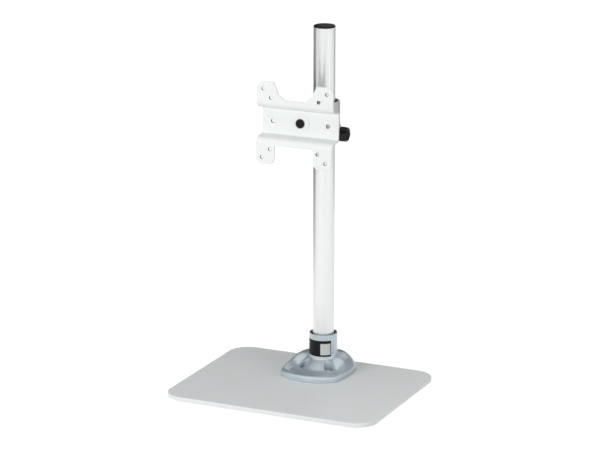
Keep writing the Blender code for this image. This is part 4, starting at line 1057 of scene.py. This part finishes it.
def thread_push(tree, sizes, reach, turn, z):
    """A screw thread between Start and End."""
    start, end, pitch = sizes["Start"], sizes["End"], sizes["Pitch"]
    climb = maths(tree, "DIVIDE", z, pitch)
    turns = maths(tree, "SUBTRACT", climb, maths(tree, "DIVIDE", turn, 2 * math.pi))
    wave = maths(tree, "MULTIPLY", maths(tree, "PINGPONG", turns, 0.5), 2)
    begun = stepped(tree, z, start, maths(tree, "ADD", start, pitch))
    ended = stepped(tree, z, maths(tree, "SUBTRACT", end, pitch), end)
    within = maths(tree, "MULTIPLY", begun, maths(tree, "SUBTRACT", 1, ended))
    outer = maths(tree, "GREATER_THAN", reach, sizes["Core"])
    cut = maths(tree, "MULTIPLY", maths(tree, "MULTIPLY", wave, sizes["Depth"]), within)
    return maths(tree, "MULTIPLY", cut, outer)


def lobe_push(tree, sizes, reach, turn, z):
    """Soft hollows between the lobes of a knob."""
    wave = maths(tree, "COSINE", maths(tree, "MULTIPLY", turn, sizes["Lobes"]))
    hollow = maths(tree, "SUBTRACT", 0.5, maths(tree, "MULTIPLY", wave, 0.5))
    outer = stepped(tree, reach, sizes["Core"], sizes["Radius"])
    return maths(tree, "MULTIPLY", maths(tree, "MULTIPLY", hollow, sizes["Depth"]), outer)


THREAD = push_tree("thread", thread_push, "Pitch", "Depth", "Start", "End", "Core")
LOBES = push_tree("lobes", lobe_push, "Lobes", "Depth", "Core", "Radius")


def threaded(name, radius, low, high, thread_low, thread_high, pitch, finish):
    """A round bar along Z with a thread on part of it."""
    rows = max(2, round((high - low) / pitch * 10))
    tip = 0.6 * MM
    profile = [(0, low), (radius - tip, low)]
    profile += [(radius, low + tip + (high - low - 2 * tip) * k / rows) for k in range(rows + 1)]
    profile += [(radius - tip, high), (0, high)]
    bar = formed(name, revolve(profile, 48))
    sizes = {"Pitch": pitch, "Depth": 0.6 * pitch, "Core": 0.9 * radius}
    return with_tree(bar, THREAD, **sizes, Start=thread_low, End=thread_high, Finish=finish)


stud_thread = (STUD_START - 2 * MM, KNOB_START + 1 * MM)
stud = threaded("threaded_stud", STUD_RADIUS, STUD_START, STUD_END, *stud_thread, STUD_PITCH, zinc)
stud.data.transform(OUT_OF_BOSS)
dress(stud, zinc, "knob", "zinc_steel", "clamp_screw")
knob_line = [
    (KNOB_BORE, KNOB_START, 0),
    (7 * MM, KNOB_START, 0.3 * MM),
    (KNOB_RADIUS - 0.8 * MM, KNOB_START + 0.2 * MM, 0.8 * MM),
    (KNOB_RADIUS, KNOB_START + 1.6 * MM, 0.8 * MM),
    (KNOB_RADIUS, KNOB_END - 3.0 * MM, 1.4 * MM),
    (KNOB_RADIUS - 2 * MM, KNOB_END, 1.0 * MM),
    (KNOB_RADIUS - 4.4 * MM, KNOB_END, 0.6 * MM),
    (KNOB_RADIUS - 5.2 * MM, KNOB_END - 0.7 * MM, 0.6 * MM),
    (0, KNOB_END - 0.5 * MM, 0),
]
knob_corners = softened(knob_line, 6, False)
knob_profile = [(0, KNOB_BORE_END), (KNOB_BORE, KNOB_BORE_END)]
for near, far in zip(knob_corners, knob_corners[1:]):
    count = max(1, math.ceil(math.dist(near, far) / KNOB_STEP))
    run, rise = far[0] - near[0], far[1] - near[1]
    knob_profile += [(near[0] + run * k / count, near[1] + rise * k / count) for k in range(count)]
knob_profile.append(knob_corners[-1])
knob = formed("lobed_knob", revolve(knob_profile, 192))
lobes = {"Lobes": KNOB_LOBES, "Depth": LOBE_DEPTH, "Core": LOBE_CORE, "Radius": KNOB_RADIUS}
with_tree(knob, LOBES, **lobes, Finish=black_plastic)
knob.data.transform(OUT_OF_BOSS @ Matrix.Rotation(math.radians(KNOB_PHASE), 4, "Z"))
dress(knob, black_plastic, "knob", "black_plastic", "clamp_knob", sharp=50)


# Tilt hinge washers. Two nylon friction washers between the arm's tongue and the fork's cheeks, and a
# steel washer outside each cheek.

SWIVEL_HINGE = AT_SLEEVE @ ALONG_HINGE
REST_TILT = math.radians(-3)
HINGE_PLACE = Matrix.Translation((0, POLE_Y - HINGE_FORWARD, SLEEVE_BOTTOM + HINGE_RISE))
AT_HINGE = HINGE_PLACE @ Matrix.Rotation(REST_TILT, 4, "X")
HINGE_BOLT = AT_HINGE @ TO_THE_RIGHT
FRICTION_START = 9.3 * MM
FRICTION_THICKNESS = 1 * MM
FRICTION_RADIUS = 11 * MM
CHEEK_INNER = 10.6 * MM
CHEEK_OUTER = 15.6 * MM
WASHER_START = CHEEK_OUTER + GAP
WASHER_THICKNESS = 1.2 * MM
WASHER_RADIUS = 8 * MM
HINGE_HEAD_START = 17.4 * MM
FRICTION_SIZES = (FRICTION_RADIUS, FRICTION_START, FRICTION_THICKNESS)
WASHER_SIZES = (WASHER_RADIUS, WASHER_START, WASHER_THICKNESS)

for side_name, side in (("left", -1), ("right", 1)):
    for name, solid, finish, body, slot, sizes, place in (
        ("nylon_washer", "friction_washer", nylon, "swivel", "nylon", FRICTION_SIZES, SWIVEL_HINGE),
        ("steel_washer", "tilt_washer", zinc, "tilt", "zinc_steel", WASHER_SIZES, HINGE_BOLT),
    ):
        outer, start, thickness = sizes
        low, high = sorted((side * start, side * (start + thickness)))
        washer = turned_ring(f"{name}_{side_name}", M8_WAY, outer, low, high, 0.15 * MM, 64, place)
        dress(washer, finish, body, slot, f"{solid}_{side_name}")


# Tilt bolt and nut. A zinc plated hexagon bolt and nut through the fork and the tongue, tight enough to
# hold the screen's tilt by friction.

M8_RADIUS = 4 * MM
M8_FLATS = 13 * MM
M8_HEAD_HEIGHT = 5.3 * MM
NUT_HEIGHT = 7 * MM
NUT_BEVEL = 0.4 * MM
HINGE_BOLT_TIP = 26.4 * MM
HINGE_THREAD = (16 * MM, 30 * MM)
HEX_SIDES = 72
HEX_FACE_SHARE = 0.97


def hex_loops(low, high, high_bevelled):
    """Loops of a hexagon prism whose corners are turned off at its low end, and at its high one if asked."""
    slope = math.tan(math.radians(30))
    flat = M8_FLATS / 2 * HEX_FACE_SHARE

    def faced(level, toward):
        """A hexagon whose corners fall back from a level."""
        loop = hexagon(M8_FLATS, level, HEX_SIDES)
        return [(x, y, z + toward * max(0.0, math.hypot(x, y) - flat) * slope) for x, y, z in loop]

    loops = [circle(flat, low, HEX_SIDES), faced(low, 1)]
    if high_bevelled:
        return loops + [faced(high, -1), circle(flat, high, HEX_SIDES)]
    return loops + [hexagon(M8_FLATS, high, HEX_SIDES)]


def hex_nut(name, start, place):
    """A nut with bevelled corners and a bevelled bore."""
    low, high = start, start + NUT_HEIGHT
    wide = M8_WAY + NUT_BEVEL
    loops = [circle(M8_WAY, low + NUT_BEVEL, HEX_SIDES), circle(wide, low, HEX_SIDES)]
    loops += hex_loops(low, high, True)
    loops += [circle(wide, high, HEX_SIDES), circle(M8_WAY, high - NUT_BEVEL, HEX_SIDES)]
    return formed(name, skin(loops, True), place)


tilt_nut = hex_nut("hinge_nut", HINGE_HEAD_START, HINGE_BOLT)
dress(tilt_nut, zinc, "tilt", "zinc_steel", "tilt_nut", sharp=25)
head = skin(hex_loops(-HINGE_HEAD_START - M8_HEAD_HEIGHT, -HINGE_HEAD_START, False))
shank_start = -HINGE_HEAD_START - 2 * MM
shank = threaded("hinge_bolt", M8_RADIUS, shank_start, HINGE_BOLT_TIP, *HINGE_THREAD, STUD_PITCH, zinc)
combined(shank, "UNION", head)
shank.data.transform(HINGE_BOLT)
dress(shank, zinc, "tilt", "zinc_steel", "tilt_bolt", sharp=25)


# Tilt fork. A round flange with two rounded cheeks, cast in aluminium like the sleeve and painted with
# it. The cheeks straddle the sleeve's tongue and the flange carries the bracket's pivot.

FLANGE_BACK = 25.4 * MM
FLANGE_FRONT = 31.4 * MM
FLANGE_RADIUS = 20 * MM
FLANGE_ROUND = 1.2 * MM
CHEEK_RADIUS = 12 * MM
CHEEK_REACH = 28 * MM
AT_PIVOT = AT_HINGE @ TO_THE_FRONT

flange_line = pin_line(FLANGE_RADIUS, FLANGE_BACK, FLANGE_FRONT, FLANGE_ROUND, FLANGE_ROUND)
cheek_line = [(-CHEEK_REACH, CHEEK_RADIUS), (-CHEEK_REACH, -CHEEK_RADIUS)]
for k in range(25):
    step = math.radians(-90 + 180 * k / 24)
    cheek_line.append((CHEEK_RADIUS * math.cos(step), CHEEK_RADIUS * math.sin(step)))
cheek_middle = (CHEEK_INNER + CHEEK_OUTER) / 2
cheek_half = (CHEEK_OUTER - CHEEK_INNER) / 2
fork = cast(
    "tilt_fork",
    placed(pin(flange_line, 4, 128), TO_THE_FRONT),
    spread_sideways(cheek_line, cheek_half, -cheek_middle),
    spread_sideways(cheek_line, cheek_half, cheek_middle),
)
bored(
    fork,
    placed(round_way(M8_WAY, 20 * MM, 35 * MM), TO_THE_FRONT),
    placed(round_way(M8_WAY, -20 * MM, 20 * MM), TO_THE_RIGHT),
)
fork.data.transform(AT_HINGE)
dress(fork, sleeve_grey, "tilt", "sleeve_paint", "tilt_yoke")


# Pivot stack. The bracket turns on a black button-head bolt, between a white washer in front and a nylon
# friction disc behind, and a split spring washer and a nut behind the flange keep it pressed.

WHITE = (0.855, 0.88, 0.875)
DISC_RADIUS = 19 * MM
DISC_START = 31.7 * MM
DISC_END = 33.2 * MM
FRONT_WASHER_RADIUS = 14 * MM
FRONT_WASHER_START = 36.3 * MM
FRONT_WASHER_END = 36.9 * MM
SPRING_RADIUS = 8 * MM
SPRING_LEVELS = (23.8 * MM, 24.8 * MM)
SPRING_RISE = 0.5 * MM
SPRING_TURN = 348
PIVOT_NUT_START = 16.2 * MM
BUTTON_START = 37.2 * MM
BUTTON_RADIUS = 6.9 * MM
BUTTON_HEIGHT = 2.4 * MM

white_paint = coat("white_powder", WHITE, 0.45)
grained(white_paint, 950, tone=0.006, dulling=0.05, relief=0.015 * MM)
disc = turned_ring("friction_disc", M8_WAY, DISC_RADIUS, DISC_START, DISC_END, 0.2 * MM, 96, AT_PIVOT)
dress(disc, nylon, "tilt", "nylon", "pivot_friction_disc")
levels = (FRONT_WASHER_START, FRONT_WASHER_END)
washer = turned_ring("white_washer", M8_WAY, FRONT_WASHER_RADIUS, *levels, 0.15 * MM, 96, AT_PIVOT)
dress(washer, white_paint, "tilt", "white_paint", "pivot_washer")
low, high = SPRING_LEVELS
section = [(M8_WAY, low), (SPRING_RADIUS, low), (SPRING_RADIUS, high), (M8_WAY, high)]
spring_loops = []
for k in range(97):
    step = math.radians(SPRING_TURN * k / 96)
    across, along, rise = math.cos(step), math.sin(step), SPRING_RISE * (k / 96 - 0.5)
    spring_loops.append([(radius * across, radius * along, level + rise) for radius, level in section])
spring = formed("spring_washer", skin(spring_loops), AT_PIVOT)
dress(spring, zinc, "tilt", "zinc_steel", "pivot_spring_washer")
pivot_nut = hex_nut("flange_nut", PIVOT_NUT_START, AT_PIVOT)
dress(pivot_nut, zinc, "tilt", "zinc_steel", "pivot_nut", sharp=25)
button_sizes = (M8_RADIUS, BUTTON_RADIUS, BUTTON_HEIGHT)
pivot_bolt = button_head(*button_sizes, length=22 * MM, key=5 * MM, key_depth=1.6 * MM)
pivot_bolt.name = "button_bolt"
pivot_bolt.data.transform(AT_PIVOT @ Matrix.Translation((0, 0, BUTTON_START)))
dress(pivot_bolt, black_steel, "tilt", "black_steel", "pivot_bolt")


# Screen bracket. One sheet of steel, cut flat with its holes and hollows, folded back behind the screen
# and forward again into four ears, and powder coated white.

SHEET = 2.5 * MM
SHEET_EDGE = 0.35 * MM
PANEL_MIDDLE = -34.75 * MM
PANEL_FLAT = 17.496 * MM
PANEL_BEND = 3 * MM
WEB_FLAT = 13.180 * MM
EAR_BEND = 8 * MM
FOLD = math.radians(79.695)
EAR_SHIFT = 15.30 * MM
HALF = 60 * MM
CORNER = 10 * MM
EAR_HOLE = 2.4 * MM
SPARE_HOLE = 2.8 * MM
# How far past a hole's edge the near-black painted shade on the hole walls reaches.
HOLE_SHADE_RIM = 0.3 * MM


def bracket_line():
    """The flat blank's outline, counter-clockwise, as seen from the front."""
    top = [(HALF, 0, 0), (HALF, HALF, CORNER), (33.5 * MM, HALF, 0)]
    top += [(25.5 * MM, 42 * MM, 8 * MM), (15 * MM, 35.3 * MM, 8 * MM)]
    top += [(-across, up, rounding) for across, up, rounding in reversed(top)]
    low = [(-HALF, -HALF, CORNER), (-30.5 * MM, -HALF, 9 * MM), (-30.5 * MM, -32 * MM, 3 * MM)]
    low += [(-across, up, rounding) for across, up, rounding in reversed(low)]
    line = softened(top + low, 10)
    return [(across, up + math.copysign(EAR_SHIFT, up) if abs(up) > 30 * MM else up) for across, up in line]


def hole_line(across, up, radius, count=40):
    """A round hole's outline in the blank."""
    return [(across + x, up + y) for x, y, _ in circle(radius, 0, count)]


def inset_line(line, amount):
    """A closed line moved to its left by an amount."""
    moved = []
    for k, here in enumerate(line):
        before, after = Vector(line[k - 1]), Vector(line[(k + 1) % len(line)])
        along = (Vector(here) - before).normalized() + (after - Vector(here)).normalized()
        along.normalize()
        moved.append((here[0] - along.y * amount, here[1] + along.x * amount))
    return moved


def flat_blank(outline, holes):
    """The blank lying flat, with its edges rounded, as a closed shape in x, up and depth."""
    shape = bmesh.new()
    caps = ([], [])
    steps = [math.radians(90 * k / 3) for k in range(4)]
    for line, inward in [(outline, 1)] + [(hole, -1) for hole in holes]:
        rows = []
        for face, turns in ((1, reversed(steps)), (-1, steps)):
            for step in turns:
                inset = inward * SHEET_EDGE * (1 - math.cos(step))
                depth = face * (SHEET / 2 - SHEET_EDGE * (1 - math.sin(step)))
                rows.append([shape.verts.new((x, y, depth)) for x, y in inset_line(line, inset)])
        for near, far in zip(rows, rows[1:]):
            for k in range(len(line)):
                after = (k + 1) % len(line)
                shape.faces.new((near[k], near[after], far[after], far[k]))
        for cap, row in zip(caps, (rows[0], rows[-1])):
            cap += [shape.edges.get((row[k], row[(k + 1) % len(row)])) for k in range(len(row))]
    for cap in caps:
        bmesh.ops.triangle_fill(shape, use_beauty=True, use_dissolve=False, edges=cap)
    bmesh.ops.recalc_face_normals(shape, faces=shape.faces)
    return shape


def folded(along, depth):
    """Where a point of the blank goes when it is folded: its depth runs forwards from the middle surface."""
    way = math.copysign(1, along)
    run = abs(along)
    y, z, tilt = PANEL_MIDDLE, min(run, PANEL_FLAT), 0.0
    run -= z
    if run > 0:
        tilt = min(run / PANEL_BEND, FOLD)
        y -= PANEL_BEND * (1 - math.cos(tilt))
        z += PANEL_BEND * math.sin(tilt)
        run -= PANEL_BEND * FOLD
    if run > 0:
        web = min(run, WEB_FLAT)
        y -= web * math.sin(FOLD)
        z += web * math.cos(FOLD)
        run -= web
    if run > 0:
        turn = min(run / EAR_BEND, FOLD)
        tilt = FOLD - turn
        y -= EAR_BEND * (math.cos(tilt) - math.cos(FOLD))
        z += EAR_BEND * (math.sin(FOLD) - math.sin(tilt))
        z += max(0.0, run - EAR_BEND * FOLD)
    return y - depth * math.cos(tilt), way * (z - depth * math.sin(tilt))


EAR_HOLES = [(x * half, y * half) for half in (50 * MM, 37.5 * MM) for x in (-1, 1) for y in (-1, 1)]
SPARE_HOLES = [(-43.3 * MM, 0), (43.3 * MM, 0)]
holes = [hole_line(across, up + math.copysign(EAR_SHIFT, up), EAR_HOLE) for across, up in EAR_HOLES]
holes += [hole_line(across, up, SPARE_HOLE) for across, up in SPARE_HOLES]
holes.append(hole_line(0, 0, M8_WAY, 64))
blank = flat_blank(bracket_line(), holes)
second_bend = PANEL_FLAT + PANEL_BEND * FOLD + WEB_FLAT
bends = [PANEL_FLAT + PANEL_BEND * FOLD * k / 10 for k in range(11)]
bends += [second_bend + EAR_BEND * FOLD * k / 14 for k in range(15)]
for bend in bends:
    for way in (-1, 1):
        sliced(blank, (0, way * bend, 0), (0, 1, 0))
for vertex in blank.verts:
    y, z = folded(vertex.co.y, vertex.co.z)
    vertex.co = (vertex.co.x, y, z)
bmesh.ops.recalc_face_normals(blank, faces=blank.faces)
bracket = formed("folded_bracket", blank, AT_HINGE)
dress(bracket, white_paint, "pivot", "white_paint", "screen_bracket")
# The faces round the ear and spare holes get a near-black painted shade, standing in for the shadow inside
# the holes.
bracket.data.materials.append(coat("painted_hole_shade", (0.03, 0.03, 0.03), 0.5, specular=0.2))
for face in bracket.data.polygons:
    middle = AT_HINGE.inverted() @ face.center
    for places, radius in ((EAR_HOLES, EAR_HOLE), (SPARE_HOLES, SPARE_HOLE)):
        if any(math.hypot(middle.x - across, middle.z - up) < radius + HOLE_SHADE_RIM for across, up in places):
            face.material_index = 1
